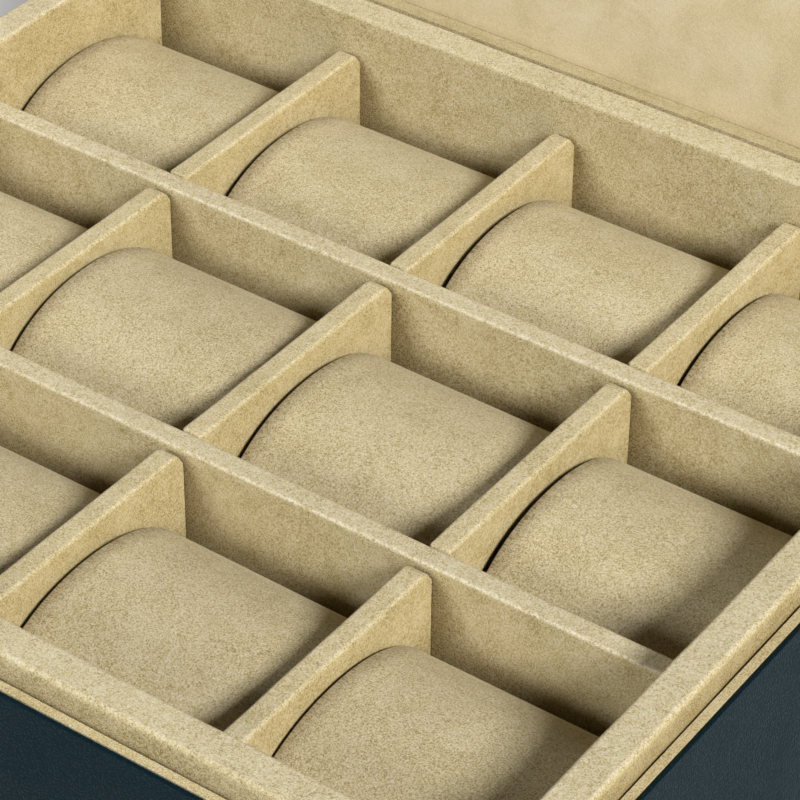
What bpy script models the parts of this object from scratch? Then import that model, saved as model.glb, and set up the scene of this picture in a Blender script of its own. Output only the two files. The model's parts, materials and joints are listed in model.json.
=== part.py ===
"""Watch display box: a suede-lined tray of pillow cells in a leather-covered case with a hinged lid.

Units are metres, +Z is up. The origin is the centre of the underside, X runs along the hinge and Y from
the clasp side to the hinge side. The lid is modelled shut, under an empty on the hinge axis, and that
empty is then turned to the opened angle.
"""

import math

import bmesh
import bpy
from mathutils import Matrix, Vector

# Cells and dividers
COLUMNS = 4
ROWS = 3
CELL_WIDTH = 0.0581
CELL_DEPTH = 0.0693
DIVIDER_THICKNESS = 0.0054
DIVIDER_HEIGHT = 0.0486
DIVIDER_EDGE_RADIUS = 0.0008
CROSS_DIVIDER_DROP = 0.0004

# Case, from the felt upwards and from the tray outwards
FELT_THICKNESS = 0.0012
FELT_INSET = 0.002
BOTTOM_THICKNESS = 0.004
FLOOR_THICKNESS = 0.002
COLLAR_THICKNESS = 0.0082
COLLAR_RISE = 0.0098
COLLAR_EDGE_RADIUS = 0.0012
SHOULDER_DROP = 0.0065
COLLAR_GAP = 0.0007
WALL_THICKNESS = 0.002
LEATHER_THICKNESS = 0.001
LEATHER_INNER_RADIUS = 0.0007
SEAT_GAP = 0.0003
CUT_OVERRUN = 0.002

# Pillows
PILLOW_END_GAP = 0.0015
PILLOW_SIDE_GAP = 0.0007
PILLOW_CREST_DROP = 0.0048
PILLOW_TOP_SHARE = 0.62
PILLOW_CROWN_SHARE = 0.03
PILLOW_FLAT_SHARE = 0.965
PILLOW_END_POWER = 10
PILLOW_TOP_POWER = 2.1
PILLOW_FOOT_POWER = 3.2
PILLOW_RING_SIDES = 24
PILLOW_RINGS = 12

# Lid
LID_RECESS = 0.0075
LID_LINING_THICKNESS = 0.004
LID_LINING_EDGE_RADIUS = 0.0012
LID_BOARD_THICKNESS = 0.004
LID_OPENED_ANGLE = math.radians(108)

# Metal plates of the hinges and the clasp
PLATE_THICKNESS = 0.001

# Hinges
HINGE_SPACING = 0.15
HINGE_LENGTH = 0.03
KNUCKLE_RADIUS = 0.0015
KNUCKLE_GAP = 0.0003
CENTRE_KNUCKLE_SHARE = 0.36
PIN_RADIUS = 0.0008
PIN_CLEARANCE = 0.00006
PIN_HEAD_RADIUS = 0.0012
PIN_HEAD_LENGTH = 0.0005
LEAF_REACH = 0.012
LEAF_STOP_GAP = 0.0003
LEAF_SCREW_SPREAD = 0.018
LEAF_SCREW_HEIGHT = 0.0075

# Screws
SCREW_HEAD_RADIUS = 0.0018
SCREW_HEAD_HEIGHT = 0.0008
SCREW_RIM_SHARE = 0.25
SCREW_DOME_SHARE = 0.65
SCREW_SHANK_RADIUS = 0.0009
SCREW_HOLE_CLEARANCE = 0.00015
SCREW_TIP_COVER = 0.0005

# Clasp
HASP_AXIS_RISE = 0.0032
HASP_WIDTH = 0.012
HASP_LENGTH = 0.0195
HASP_THICKNESS = 0.001
HASP_WINDOW = 0.0072
HASP_GRIP_RADIUS = 0.0011
CLASP_KNUCKLE_RADIUS = 0.0016
CLASP_LENGTH = 0.018
BRACKET_REACH = 0.0105
BRACKET_SCREW_SPREAD = 0.0105
BRACKET_SCREW_HEIGHT = 0.0062
CATCH_DROP = 0.0105
CATCH_WIDTH = 0.0225
CATCH_HEIGHT = 0.0105
CATCH_SCREW_SPREAD = 0.017
STUD_NECK_RADIUS = 0.0018
STUD_NECK_LENGTH = 0.0021
STUD_HEAD_RADIUS = 0.0026
STUD_HEAD_LENGTH = 0.001

# Facets of round pieces
ROUND_SIDES = 16
SCREW_SIDES = 10
EDGE_SEGMENTS = 2
CORNER_SEGMENTS = 3
MERGE_DISTANCE = 0.00003

# Plan of the case: half sizes of each layer, from the tray outwards
INNER_X = (COLUMNS * CELL_WIDTH + (COLUMNS - 1) * DIVIDER_THICKNESS) / 2
INNER_Y = (ROWS * CELL_DEPTH + (ROWS - 1) * DIVIDER_THICKNESS) / 2
COLLAR_X = INNER_X + COLLAR_THICKNESS
COLLAR_Y = INNER_Y + COLLAR_THICKNESS
WALL_INNER_X = COLLAR_X + COLLAR_GAP
WALL_INNER_Y = COLLAR_Y + COLLAR_GAP
WALL_X = WALL_INNER_X + WALL_THICKNESS
WALL_Y = WALL_INNER_Y + WALL_THICKNESS
LEATHER_INNER_X = WALL_X + SEAT_GAP
LEATHER_INNER_Y = WALL_Y + SEAT_GAP
LEATHER_X = LEATHER_INNER_X + LEATHER_THICKNESS
LEATHER_Y = LEATHER_INNER_Y + LEATHER_THICKNESS

# Levels of the case, from the felt upwards
BOARD_FOOT = FELT_THICKNESS + SEAT_GAP
BOARD_TOP = BOARD_FOOT + BOTTOM_THICKNESS
WALL_FOOT = BOARD_TOP + SEAT_GAP
FLOOR_TOP = WALL_FOOT + FLOOR_THICKNESS
TRAY_FOOT = FLOOR_TOP + SEAT_GAP
DIVIDER_TOP = TRAY_FOOT + DIVIDER_HEIGHT
DIVIDER_MIDDLE = TRAY_FOOT + DIVIDER_HEIGHT / 2
COLLAR_TOP = DIVIDER_TOP + COLLAR_RISE
RIM = COLLAR_TOP - SHOULDER_DROP

# Levels of the shut lid
LID_RIM = RIM + SEAT_GAP
LINING_FOOT = LID_RIM + LID_RECESS
LINING_TOP = LINING_FOOT + LID_LINING_THICKNESS
LID_BOARD_FOOT = LINING_TOP + SEAT_GAP
LID_BOARD_TOP = LID_BOARD_FOOT + LID_BOARD_THICKNESS
LID_LEATHER_INNER_TOP = LID_BOARD_TOP + SEAT_GAP

# Axes of the hinges and of the hasp
HINGE_AXIS = Vector((0, LEATHER_Y, RIM + SEAT_GAP / 2))
PLATE_INNER = SEAT_GAP
PLATE_OUTER = PLATE_INNER + PLATE_THICKNESS
HASP_AXIS = Vector((0, -LEATHER_Y - SEAT_GAP - CLASP_KNUCKLE_RADIUS, LID_RIM + HASP_AXIS_RISE))


def material(name, colour, roughness, metallic=0):
    made = bpy.data.materials.new(name)
    made.use_nodes = True
    shader = made.node_tree.nodes["Principled BSDF"]
    shader.inputs["Base Color"].default_value = (*colour, 1)
    shader.inputs["Roughness"].default_value = roughness
    shader.inputs["Metallic"].default_value = metallic
    return made


def clear_scene():
    for old in list(bpy.data.objects):
        bpy.data.objects.remove(old, do_unlink=True)


def new_collection(name):
    made = bpy.data.collections.new(name)
    bpy.context.scene.collection.children.link(made)
    return made


clear_scene()
BOX = new_collection("watch_display_box")
CUTTERS = new_collection("cutters")

SUEDE = material("tan suede", (0.53, 0.42, 0.235), 0.95)
PILLOW_SUEDE = material("pillow suede", (0.55, 0.44, 0.25), 0.95)
LINING_SUEDE = material("lid lining suede", (0.6, 0.48, 0.28), 0.95)
LEATHER = material("dark teal leather", (0.012, 0.022, 0.03), 0.42)
FELT = material("black felt", (0.02, 0.02, 0.022), 1)
BOARD = material("grey board", (0.3, 0.28, 0.25), 0.9)
STEEL = material("satin steel", (0.56, 0.55, 0.53), 0.3, 1)


def add(name, mesh, look, place, pivot=None):
    """Puts a mesh in the box at a place given for the shut lid, under a pivot if it has one."""
    made = bpy.data.objects.new(name, mesh)
    (BOX if look else CUTTERS).objects.link(made)
    if look:
        mesh.materials.clear()
        mesh.materials.append(look)
    else:
        made.hide_render = True
        made.display_type = "WIRE"
    made.location = Vector(place)
    if pivot:
        made.parent = pivot
        made.location -= shut_place(pivot)
    return made


def shut_place(pivot):
    """Where a pivot stands while the lid is shut."""
    place = pivot.location.copy()
    while pivot.parent:
        pivot = pivot.parent
        place += pivot.location
    return place


def add_pivot(name, place, parent=None):
    made = bpy.data.objects.new(name, None)
    BOX.objects.link(made)
    made.location = place
    if parent:
        made.parent = parent
        made.location = place - shut_place(parent)
    return made


def mesh_from(bm, name):
    mesh = bpy.data.meshes.new(name)
    bm.to_mesh(mesh)
    bm.free()
    return mesh


def box(name, low, high, look, pivot=None):
    """A board between two corners, with its origin at its middle."""
    low, high = Vector(low), Vector(high)
    bm = bmesh.new()
    bmesh.ops.create_cube(bm, size=1)
    bmesh.ops.scale(bm, vec=high - low, verts=bm.verts)
    return add(name, mesh_from(bm, name), look, (low + high) / 2, pivot)


def rod(name, place, radius, length, direction, look, pivot=None, sides=ROUND_SIDES):
    """A round bar centred on a place, lying along a direction."""
    bm = bmesh.new()
    bmesh.ops.create_cone(
        bm, cap_ends=True, segments=sides, radius1=radius, radius2=radius, depth=length
    )
    turn = Vector(direction).to_track_quat("Z", "Y").to_matrix()
    bmesh.ops.rotate(bm, matrix=turn, verts=bm.verts)
    made = add(name, mesh_from(bm, name), look, place, pivot)
    smooth(made)
    return made


def smooth(piece):
    piece.data.shade_smooth()
    piece.data.set_sharp_from_angle(angle=math.radians(40))


def round_edges(piece, radius, chosen):
    """Rounds the edges whose two ends, seen from the piece's middle, pass a test."""
    mesh = piece.data
    weights = mesh.attributes.new("bevel_weight_edge", "FLOAT", "EDGE")
    for edge in mesh.edges:
        ends = [mesh.vertices[i].co for i in edge.vertices]
        weights.data[edge.index].value = float(chosen(*ends))
    bevel = piece.modifiers.new("Rounded edges", "BEVEL")
    bevel.limit_method = "WEIGHT"
    bevel.width = radius
    bevel.segments = EDGE_SEGMENTS


def top_edges_along(axis):
    """A test for the upper edges that run along one axis."""

    def chosen(a, b):
        return a.z > 0 and b.z > 0 and a[axis] * b[axis] < 0

    return chosen


def boolean(piece, tool, operation):
    step = piece.modifiers.new(f"{operation.title()} {tool.name}", "BOOLEAN")
    step.object = tool
    step.operation = operation
    step.solver = "EXACT"


def cut(piece, tool):
    boolean(piece, tool, "DIFFERENCE")


def join(piece, tool):
    boolean(piece, tool, "UNION")
    piece.modifiers[-1].use_self = True


def plate(name, outline, near, far, look, pivot=None):
    """A flat plate: an outline of (x, z) points, between two places along Y. Its origin is mid-way."""
    curve = bpy.data.curves.new(name, "CURVE")
    curve.dimensions = "2D"
    curve.fill_mode = "BOTH"
    curve.extrude = abs(far - near) / 2
    spline = curve.splines.new("POLY")
    spline.points.add(len(outline) - 1)
    middle_x = sum(x for x, z in outline) / len(outline)
    middle_z = sum(z for x, z in outline) / len(outline)
    for point, (x, z) in zip(spline.points, outline):
        point.co = (x - middle_x, z - middle_z, 0, 1)
    spline.use_cyclic_u = True
    drawn = bpy.data.objects.new(name, curve)
    BOX.objects.link(drawn)
    evaluated = drawn.evaluated_get(bpy.context.evaluated_depsgraph_get())
    bm = bmesh.new()
    bm.from_mesh(bpy.data.meshes.new_from_object(evaluated))
    bmesh.ops.remove_doubles(bm, verts=bm.verts, dist=MERGE_DISTANCE)
    bmesh.ops.rotate(bm, matrix=Matrix.Rotation(math.pi / 2, 3, "X"), verts=bm.verts)
    bmesh.ops.recalc_face_normals(bm, faces=bm.faces)
    bpy.data.objects.remove(drawn, do_unlink=True)
    return add(name, mesh_from(bm, name), look, (middle_x, (near + far) / 2, middle_z), pivot)


def turned(name, profile, sides, place, direction, look, pivot=None):
    """A turned piece: a profile of (radius, height) points from top to bottom, with its height along a
    direction and its origin at height zero."""
    bm = bmesh.new()
    corners = [bm.verts.new((radius, 0, height)) for radius, height in profile]
    for a, b in zip(corners, corners[1:]):
        bm.edges.new((a, b))
    made = add(name, mesh_from(bm, name), look, place, pivot)
    made.rotation_euler = Vector(direction).to_track_quat("Z", "Y").to_euler()
    screw = made.modifiers.new("Turned", "SCREW")
    screw.steps = sides
    screw.render_steps = sides
    screw.use_merge_vertices = True
    screw.merge_threshold = MERGE_DISTANCE
    return made


# The case
def base_boards():
    felt_x = LEATHER_X - FELT_INSET
    felt_y = LEATHER_Y - FELT_INSET
    box("base_felt", (-felt_x, -felt_y, 0), (felt_x, felt_y, FELT_THICKNESS), FELT)
    box("base_bottom", (-WALL_X, -WALL_Y, BOARD_FOOT), (WALL_X, WALL_Y, BOARD_TOP), BOARD)
    floor_x = INNER_X - SEAT_GAP
    floor_y = INNER_Y - SEAT_GAP
    box("tray_floor", (-floor_x, -floor_y, WALL_FOOT), (floor_x, floor_y, FLOOR_TOP), SUEDE)


def ring_of_boards(prefix, outer, thickness, foot, top, look, pivot=None):
    """Four boards that meet at butt corners: the long ones run the full length."""
    outer_x, outer_y = outer
    inner_x = outer_x - thickness
    inner_y = outer_y - thickness
    side_y = inner_y - SEAT_GAP
    spans = {
        "front": ((-outer_x, -outer_y), (outer_x, -inner_y)),
        "back": ((-outer_x, inner_y), (outer_x, outer_y)),
        "left": ((-outer_x, -side_y), (-inner_x, side_y)),
        "right": ((inner_x, -side_y), (outer_x, side_y)),
    }
    return {
        side: box(f"{prefix}_{side}", (*low, foot), (*high, top), look, pivot)
        for side, (low, high) in spans.items()
    }


def collar():
    boards = ring_of_boards(
        "collar", (COLLAR_X, COLLAR_Y), COLLAR_THICKNESS, WALL_FOOT, COLLAR_TOP, SUEDE
    )
    for side, board in boards.items():
        along = 0 if side in ("front", "back") else 1
        round_edges(board, COLLAR_EDGE_RADIUS, top_edges_along(along))


def leather_cover(name, foot, top, covered, pivot=None):
    """The leather round a ring of walls, and over their board if it is covered: an open shell with its
    corners rounded, thickened outwards."""
    bm = bmesh.new()
    bmesh.ops.create_cube(bm, size=1)
    size = Vector((2 * LEATHER_INNER_X, 2 * LEATHER_INNER_Y, top - foot))
    bmesh.ops.scale(bm, vec=size, verts=bm.verts)
    missing = [f for f in bm.faces if f.normal.z < -0.5 or (f.normal.z > 0.5 and not covered)]
    bmesh.ops.delete(bm, geom=missing, context="FACES_ONLY")
    folds = [e for e in bm.edges if len(e.link_faces) == 2]
    bmesh.ops.bevel(
        bm,
        geom=folds,
        offset=LEATHER_INNER_RADIUS,
        offset_type="OFFSET",
        segments=CORNER_SEGMENTS,
        profile=0.5,
        affect="EDGES",
    )
    made = add(name, mesh_from(bm, name), LEATHER, (0, 0, (foot + top) / 2), pivot)
    smooth(made)
    shell = made.modifiers.new("Leather thickness", "SOLIDIFY")
    shell.thickness = LEATHER_THICKNESS
    shell.offset = 1
    shell.use_even_offset = True
    return made


# The tray
def column_line(number):
    """The middle of the divider that follows a column."""
    return -INNER_X + number * (CELL_WIDTH + DIVIDER_THICKNESS) - DIVIDER_THICKNESS / 2


def row_line(number):
    """The middle of the divider that follows a row."""
    return -INNER_Y + number * (CELL_DEPTH + DIVIDER_THICKNESS) - DIVIDER_THICKNESS / 2


def dividers():
    """Boards that lock by half laps: the long ones are whole on top, the cross ones below. The cross
    ones stand a little lower, so the long ones' rounded tops run on unbroken."""
    half = DIVIDER_THICKNESS / 2
    slot = half + SEAT_GAP
    reach_x = INNER_X - SEAT_GAP
    reach_y = INNER_Y - SEAT_GAP
    lines_x = [column_line(n) for n in range(1, COLUMNS)]
    lines_y = [row_line(n) for n in range(1, ROWS)]
    for number, y in enumerate(lines_y, 1):
        low = (-reach_x, y - half, TRAY_FOOT)
        high = (reach_x, y + half, DIVIDER_TOP)
        board = box(f"divider_long_{number}", low, high, SUEDE)
        round_edges(board, DIVIDER_EDGE_RADIUS, top_edges_along(0))
        for place, x in enumerate(lines_x, 1):
            low = (x - slot, y - slot - CUT_OVERRUN, TRAY_FOOT - CUT_OVERRUN)
            high = (x + slot, y + slot + CUT_OVERRUN, DIVIDER_MIDDLE + SEAT_GAP / 2)
            cut(board, box(f"cut_long_{number}_{place}", low, high, None))
    for number, x in enumerate(lines_x, 1):
        low = (x - half, -reach_y, TRAY_FOOT)
        high = (x + half, reach_y, DIVIDER_TOP - CROSS_DIVIDER_DROP)
        board = box(f"divider_cross_{number}", low, high, SUEDE)
        round_edges(board, DIVIDER_EDGE_RADIUS, top_edges_along(1))
        for place, y in enumerate(lines_y, 1):
            low = (x - slot - CUT_OVERRUN, y - slot, DIVIDER_MIDDLE - SEAT_GAP / 2)
            high = (x + slot + CUT_OVERRUN, y + slot, DIVIDER_TOP + CUT_OVERRUN)
            cut(board, box(f"cut_cross_{number}_{place}", low, high, None))


def power(value, exponent):
    return math.copysign(abs(value) ** exponent, value)


def pillow_mesh():
    """One pillow, lying along X with its origin at its middle: a sphere drawn out to an oval roll with a
    domed top, a flatter foot, flat ends and a slight crown along its length."""
    length = CELL_WIDTH - 2 * PILLOW_END_GAP
    width = CELL_DEPTH - 2 * PILLOW_SIDE_GAP
    height = DIVIDER_HEIGHT - PILLOW_CREST_DROP
    top = height * PILLOW_TOP_SHARE
    foot = (height - top) / PILLOW_FLAT_SHARE
    lowest = top - height
    bm = bmesh.new()
    bmesh.ops.create_uvsphere(bm, u_segments=PILLOW_RING_SIDES, v_segments=PILLOW_RINGS, radius=1)
    bmesh.ops.rotate(bm, matrix=Matrix.Rotation(math.pi / 2, 3, "Y"), verts=bm.verts)
    for corner in bm.verts:
        along, across, up = corner.co
        round_share = math.hypot(across, up)
        if round_share:
            across, up = across / round_share, up / round_share
        end = power(along, 2 / PILLOW_END_POWER)
        size = round_share ** (2 / PILLOW_END_POWER) * (1 - PILLOW_CROWN_SHARE * end * end)
        shape = PILLOW_TOP_POWER if up > 0 else PILLOW_FOOT_POWER
        y = width / 2 * size * power(across, 2 / shape)
        z = (top if up > 0 else foot) * size * power(up, 2 / shape)
        corner.co = (length / 2 * end, y, max(z, lowest))
    bmesh.ops.recalc_face_normals(bm, faces=bm.faces)
    mesh = mesh_from(bm, "pillow")
    mesh.shade_smooth()
    return mesh, -lowest


def pillows():
    mesh, rise = pillow_mesh()
    for row in range(ROWS):
        for column in range(COLUMNS):
            x = column_line(column + 1) - (CELL_WIDTH + DIVIDER_THICKNESS) / 2
            y = row_line(row + 1) - (CELL_DEPTH + DIVIDER_THICKNESS) / 2
            name = f"pillow_{row + 1}_{column + 1}"
            add(name, mesh, PILLOW_SUEDE, (x, y, TRAY_FOOT + rise))


# The lid
def lid_boards(pivot):
    walls = ring_of_boards(
        "lid_wall", (WALL_X, WALL_Y), WALL_THICKNESS, LID_RIM, LINING_TOP, SUEDE, pivot
    )
    lining_x = WALL_INNER_X - SEAT_GAP
    lining_y = WALL_INNER_Y - SEAT_GAP
    low = (-lining_x, -lining_y, LINING_FOOT)
    high = (lining_x, lining_y, LINING_TOP)
    lining = box("lid_lining", low, high, LINING_SUEDE, pivot)
    round_edges(lining, LID_LINING_EDGE_RADIUS, lambda a, b: a.z < 0 and b.z < 0)
    low = (-WALL_X, -WALL_Y, LID_BOARD_FOOT)
    high = (WALL_X, WALL_Y, LID_BOARD_TOP)
    box("lid_board", low, high, BOARD, pivot)
    return walls


# Screws
def screw(name, place, outward, grip, drilled, pivot=None):
    """A dome-headed screw whose head sits on a plate, and its hole through all that it passes. The place
    is on the plate's outer face and grip is how far the shank reaches in."""
    head = SCREW_HEAD_RADIUS
    seat = SEAT_GAP / 2
    rim = seat + SCREW_HEAD_HEIGHT * SCREW_RIM_SHARE
    dome = seat + SCREW_HEAD_HEIGHT * (1 - SCREW_RIM_SHARE)
    profile = [
        (0, seat + SCREW_HEAD_HEIGHT),
        (head * SCREW_DOME_SHARE, dome),
        (head, rim),
        (head, seat),
        (SCREW_SHANK_RADIUS, seat),
        (SCREW_SHANK_RADIUS, -grip),
        (0, -grip),
    ]
    turned(name, profile, SCREW_SIDES, place, (0, outward, 0), STEEL, pivot)
    radius = SCREW_SHANK_RADIUS + SCREW_HOLE_CLEARANCE
    depth = grip + SEAT_GAP
    middle = Vector(place) + Vector((0, outward * (CUT_OVERRUN - depth) / 2, 0))
    length = depth + CUT_OVERRUN
    drill = rod(f"cut_{name}", middle, radius, length, (0, 1, 0), None, pivot, SCREW_SIDES)
    for piece in drilled:
        cut(piece, drill)


# The shank of a screw through a plate on the leather ends inside the wall, short of its inner face
SCREW_GRIP = PLATE_OUTER + LEATHER_THICKNESS + SEAT_GAP + WALL_THICKNESS - SCREW_TIP_COVER


# Hinges
def leaf_edge():
    """How far a leaf's near edge stands from the hinge axis: the edges of the two leaves meet as the
    stop, a stop gap past the opened angle."""
    corner_angle = LID_OPENED_ANGLE / 2
    corner = PLATE_OUTER / math.cos(corner_angle)
    past = math.asin(LEAF_STOP_GAP / 2 / corner)
    return PLATE_OUTER * math.tan(corner_angle + past)


def hinge_leaf(name, middle_x, upward, knuckles, look, pivot=None):
    """One leaf with its knuckles. upward is 1 for the lid's leaf and -1 for the case's leaf; knuckles
    are (start, end) stretches along X from the hinge's middle."""
    near = HINGE_AXIS.z + upward * leaf_edge()
    far = HINGE_AXIS.z + upward * LEAF_REACH
    half = HINGE_LENGTH / 2
    outline = [(middle_x - half, far), (middle_x - half, near)]
    for start, end in knuckles:
        tab_start = middle_x + start + KNUCKLE_GAP
        tab_end = middle_x + end - KNUCKLE_GAP
        outline += [(tab_start, near), (tab_start, HINGE_AXIS.z)]
        outline += [(tab_end, HINGE_AXIS.z), (tab_end, near)]
    outline += [(middle_x + half, near), (middle_x + half, far)]
    inner = HINGE_AXIS.y + PLATE_INNER
    leaf = plate(name, outline, inner, inner + PLATE_THICKNESS, look, pivot)
    for number, (start, end) in enumerate(knuckles, 1):
        centre = HINGE_AXIS + Vector((middle_x + (start + end) / 2, 0, 0))
        barrel = rod(
            f"tool_{name}_{number}", centre, KNUCKLE_RADIUS, end - start, (1, 0, 0), None, pivot
        )
        join(leaf, barrel)
    bore = PIN_RADIUS + PIN_CLEARANCE
    centre = HINGE_AXIS + Vector((middle_x, 0, 0))
    length = HINGE_LENGTH + 2 * CUT_OVERRUN
    cut(leaf, rod(f"cut_{name}_bore", centre, bore, length, (1, 0, 0), None, pivot))
    return leaf


def pin_profile(length, radius, head_radius, head_length):
    """A pin from head to head, for a barrel of a length, with a small gap under each head."""
    reach = length / 2 + KNUCKLE_GAP / 2
    end = reach + head_length
    return [
        (0, end),
        (head_radius, end),
        (head_radius, reach),
        (radius, reach),
        (radius, -reach),
        (head_radius, -reach),
        (head_radius, -end),
        (0, -end),
    ]


def hinge(side, middle_x, base_pieces, lid_pieces, pivot):
    """A butt hinge whose barrel is let into the rims, with its leaves on the leather."""
    half = HINGE_LENGTH / 2
    centre_half = HINGE_LENGTH * CENTRE_KNUCKLE_SHARE / 2
    outer = [(-half, -centre_half - KNUCKLE_GAP), (centre_half + KNUCKLE_GAP, half)]
    inner = [(-centre_half, centre_half)]
    base_leaf = hinge_leaf(f"hinge_{side}_base_leaf", middle_x, -1, outer, STEEL)
    lid_leaf = hinge_leaf(f"hinge_{side}_lid_leaf", middle_x, 1, inner, STEEL, pivot)
    profile = pin_profile(HINGE_LENGTH, PIN_RADIUS, PIN_HEAD_RADIUS, PIN_HEAD_LENGTH)
    centre = HINGE_AXIS + Vector((middle_x, 0, 0))
    turned(f"hinge_{side}_pin", profile, ROUND_SIDES, centre, (1, 0, 0), STEEL)
    room = KNUCKLE_RADIUS + SEAT_GAP
    room_x = half + KNUCKLE_GAP + PIN_HEAD_LENGTH + SEAT_GAP
    for name, pieces, holder in (("base", base_pieces, None), ("lid", lid_pieces, pivot)):
        low = centre - Vector((room_x, room, room))
        high = centre + Vector((room_x, CUT_OVERRUN, room))
        notch = box(f"cut_{side}_{name}_notch", low, high, None, holder)
        for piece in pieces:
            cut(piece, notch)
    face_y = HINGE_AXIS.y + PLATE_OUTER
    for hand, offset in (("a", -LEAF_SCREW_SPREAD / 2), ("b", LEAF_SCREW_SPREAD / 2)):
        x = middle_x + offset
        low_place = (x, face_y, HINGE_AXIS.z - LEAF_SCREW_HEIGHT)
        high_place = (x, face_y, HINGE_AXIS.z + LEAF_SCREW_HEIGHT)
        screw(f"screw_{side}_base_{hand}", low_place, 1, SCREW_GRIP, [base_leaf, *base_pieces])
        screw(f"screw_{side}_lid_{hand}", high_place, 1, SCREW_GRIP, [lid_leaf, *lid_pieces], pivot)


# Clasp
def catch(front_wall, leather):
    """The plate on the case's front with the stud that the hasp's window drops over."""
    face = -LEATHER_Y
    level = RIM - CATCH_DROP
    half_x = CATCH_WIDTH / 2
    half_z = CATCH_HEIGHT / 2
    outline = [
        (-half_x, level - half_z),
        (half_x, level - half_z),
        (half_x, level + half_z),
        (-half_x, level + half_z),
    ]
    base = plate("catch_plate", outline, face - PLATE_OUTER, face - PLATE_INNER, STEEL)
    root = PLATE_THICKNESS / 2
    neck = STUD_NECK_LENGTH
    tip = neck + STUD_HEAD_LENGTH
    profile = [
        (0, tip),
        (STUD_HEAD_RADIUS, tip),
        (STUD_HEAD_RADIUS, neck),
        (STUD_NECK_RADIUS, neck),
        (STUD_NECK_RADIUS, -root),
        (0, -root),
    ]
    place = (0, face - PLATE_OUTER, level)
    join(base, turned("tool_stud", profile, ROUND_SIDES, place, (0, -1, 0), None))
    for hand, x in (("a", -CATCH_SCREW_SPREAD / 2), ("b", CATCH_SCREW_SPREAD / 2)):
        place = (x, face - PLATE_OUTER, level)
        screw(f"screw_catch_{hand}", place, -1, SCREW_GRIP, [base, front_wall, leather])


def clasp_bracket(lid_wall, leather, pivot):
    """The plate on the lid's front with the two outer knuckles that carry the hasp, and an ear below
    each knuckle that the hasp's shoulders rest on."""
    face = -LEATHER_Y
    half = CLASP_LENGTH / 2
    centre_half = CLASP_LENGTH * CENTRE_KNUCKLE_SHARE / 2
    near = HASP_AXIS.z + CLASP_KNUCKLE_RADIUS + SEAT_GAP
    far = HASP_AXIS.z + BRACKET_REACH
    ear = LID_RIM + SEAT_GAP
    gap = KNUCKLE_GAP
    outline = [(-half, far), (-half, ear)]
    outline += [(-centre_half - 2 * gap, ear), (-centre_half - 2 * gap, near)]
    outline += [(centre_half + 2 * gap, near), (centre_half + 2 * gap, ear)]
    outline += [(half, ear), (half, far)]
    bracket = plate(
        "hasp_bracket", outline, face - PLATE_OUTER, face - PLATE_INNER, STEEL, pivot
    )
    span = half - centre_half - gap
    for hand, side in (("left", -1), ("right", 1)):
        centre = HASP_AXIS + Vector((side * (half - span / 2), 0, 0))
        length = span - gap / 2
        barrel = rod(
            f"tool_bracket_{hand}", centre, CLASP_KNUCKLE_RADIUS, length, (1, 0, 0), None, pivot
        )
        join(bracket, barrel)
    bore = PIN_RADIUS + PIN_CLEARANCE
    length = CLASP_LENGTH + 2 * CUT_OVERRUN
    cut(bracket, rod("cut_bracket_bore", HASP_AXIS, bore, length, (1, 0, 0), None, pivot))
    profile = pin_profile(CLASP_LENGTH, PIN_RADIUS, PIN_HEAD_RADIUS, PIN_HEAD_LENGTH)
    turned("hasp_pin", profile, ROUND_SIDES, HASP_AXIS, (1, 0, 0), STEEL, pivot)
    level = HASP_AXIS.z + BRACKET_SCREW_HEIGHT
    for hand, x in (("a", -BRACKET_SCREW_SPREAD / 2), ("b", BRACKET_SCREW_SPREAD / 2)):
        place = (x, face - PLATE_OUTER, level)
        screw(
            f"screw_bracket_{hand}", place, -1, SCREW_GRIP, [bracket, lid_wall, leather], pivot
        )


def hasp(pivot):
    """The swinging plate: a knuckle, a window for the stud and a grip along its foot."""
    half = HASP_WIDTH / 2
    centre_half = CLASP_LENGTH * CENTRE_KNUCKLE_SHARE / 2
    tab = centre_half - KNUCKLE_GAP
    shoulder = HASP_AXIS.z - CLASP_KNUCKLE_RADIUS - SEAT_GAP
    foot = HASP_AXIS.z - HASP_LENGTH
    outline = [
        (-half, foot),
        (half, foot),
        (half, shoulder),
        (tab, shoulder),
        (tab, HASP_AXIS.z),
        (-tab, HASP_AXIS.z),
        (-tab, shoulder),
        (-half, shoulder),
    ]
    near = -LEATHER_Y - PLATE_OUTER - SEAT_GAP
    flap = plate("hasp", outline, near - HASP_THICKNESS, near, STEEL, pivot)
    length = 2 * centre_half
    join(
        flap,
        rod("tool_hasp_knuckle", HASP_AXIS, CLASP_KNUCKLE_RADIUS, length, (1, 0, 0), None, pivot),
    )
    grip = (0, near - HASP_GRIP_RADIUS, foot)
    join(flap, rod("tool_hasp_grip", grip, HASP_GRIP_RADIUS, HASP_WIDTH, (1, 0, 0), None, pivot))
    level = RIM - CATCH_DROP + SEAT_GAP
    reach = HASP_WINDOW / 2
    low = (-reach, near - HASP_THICKNESS - CUT_OVERRUN, level - reach)
    high = (reach, near + CUT_OVERRUN, level + reach)
    cut(flap, box("cut_hasp_window", low, high, None, pivot))
    bore = PIN_RADIUS + PIN_CLEARANCE
    length = CLASP_LENGTH + 2 * CUT_OVERRUN
    cut(flap, rod("cut_hasp_bore", HASP_AXIS, bore, length, (1, 0, 0), None, pivot))


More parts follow.
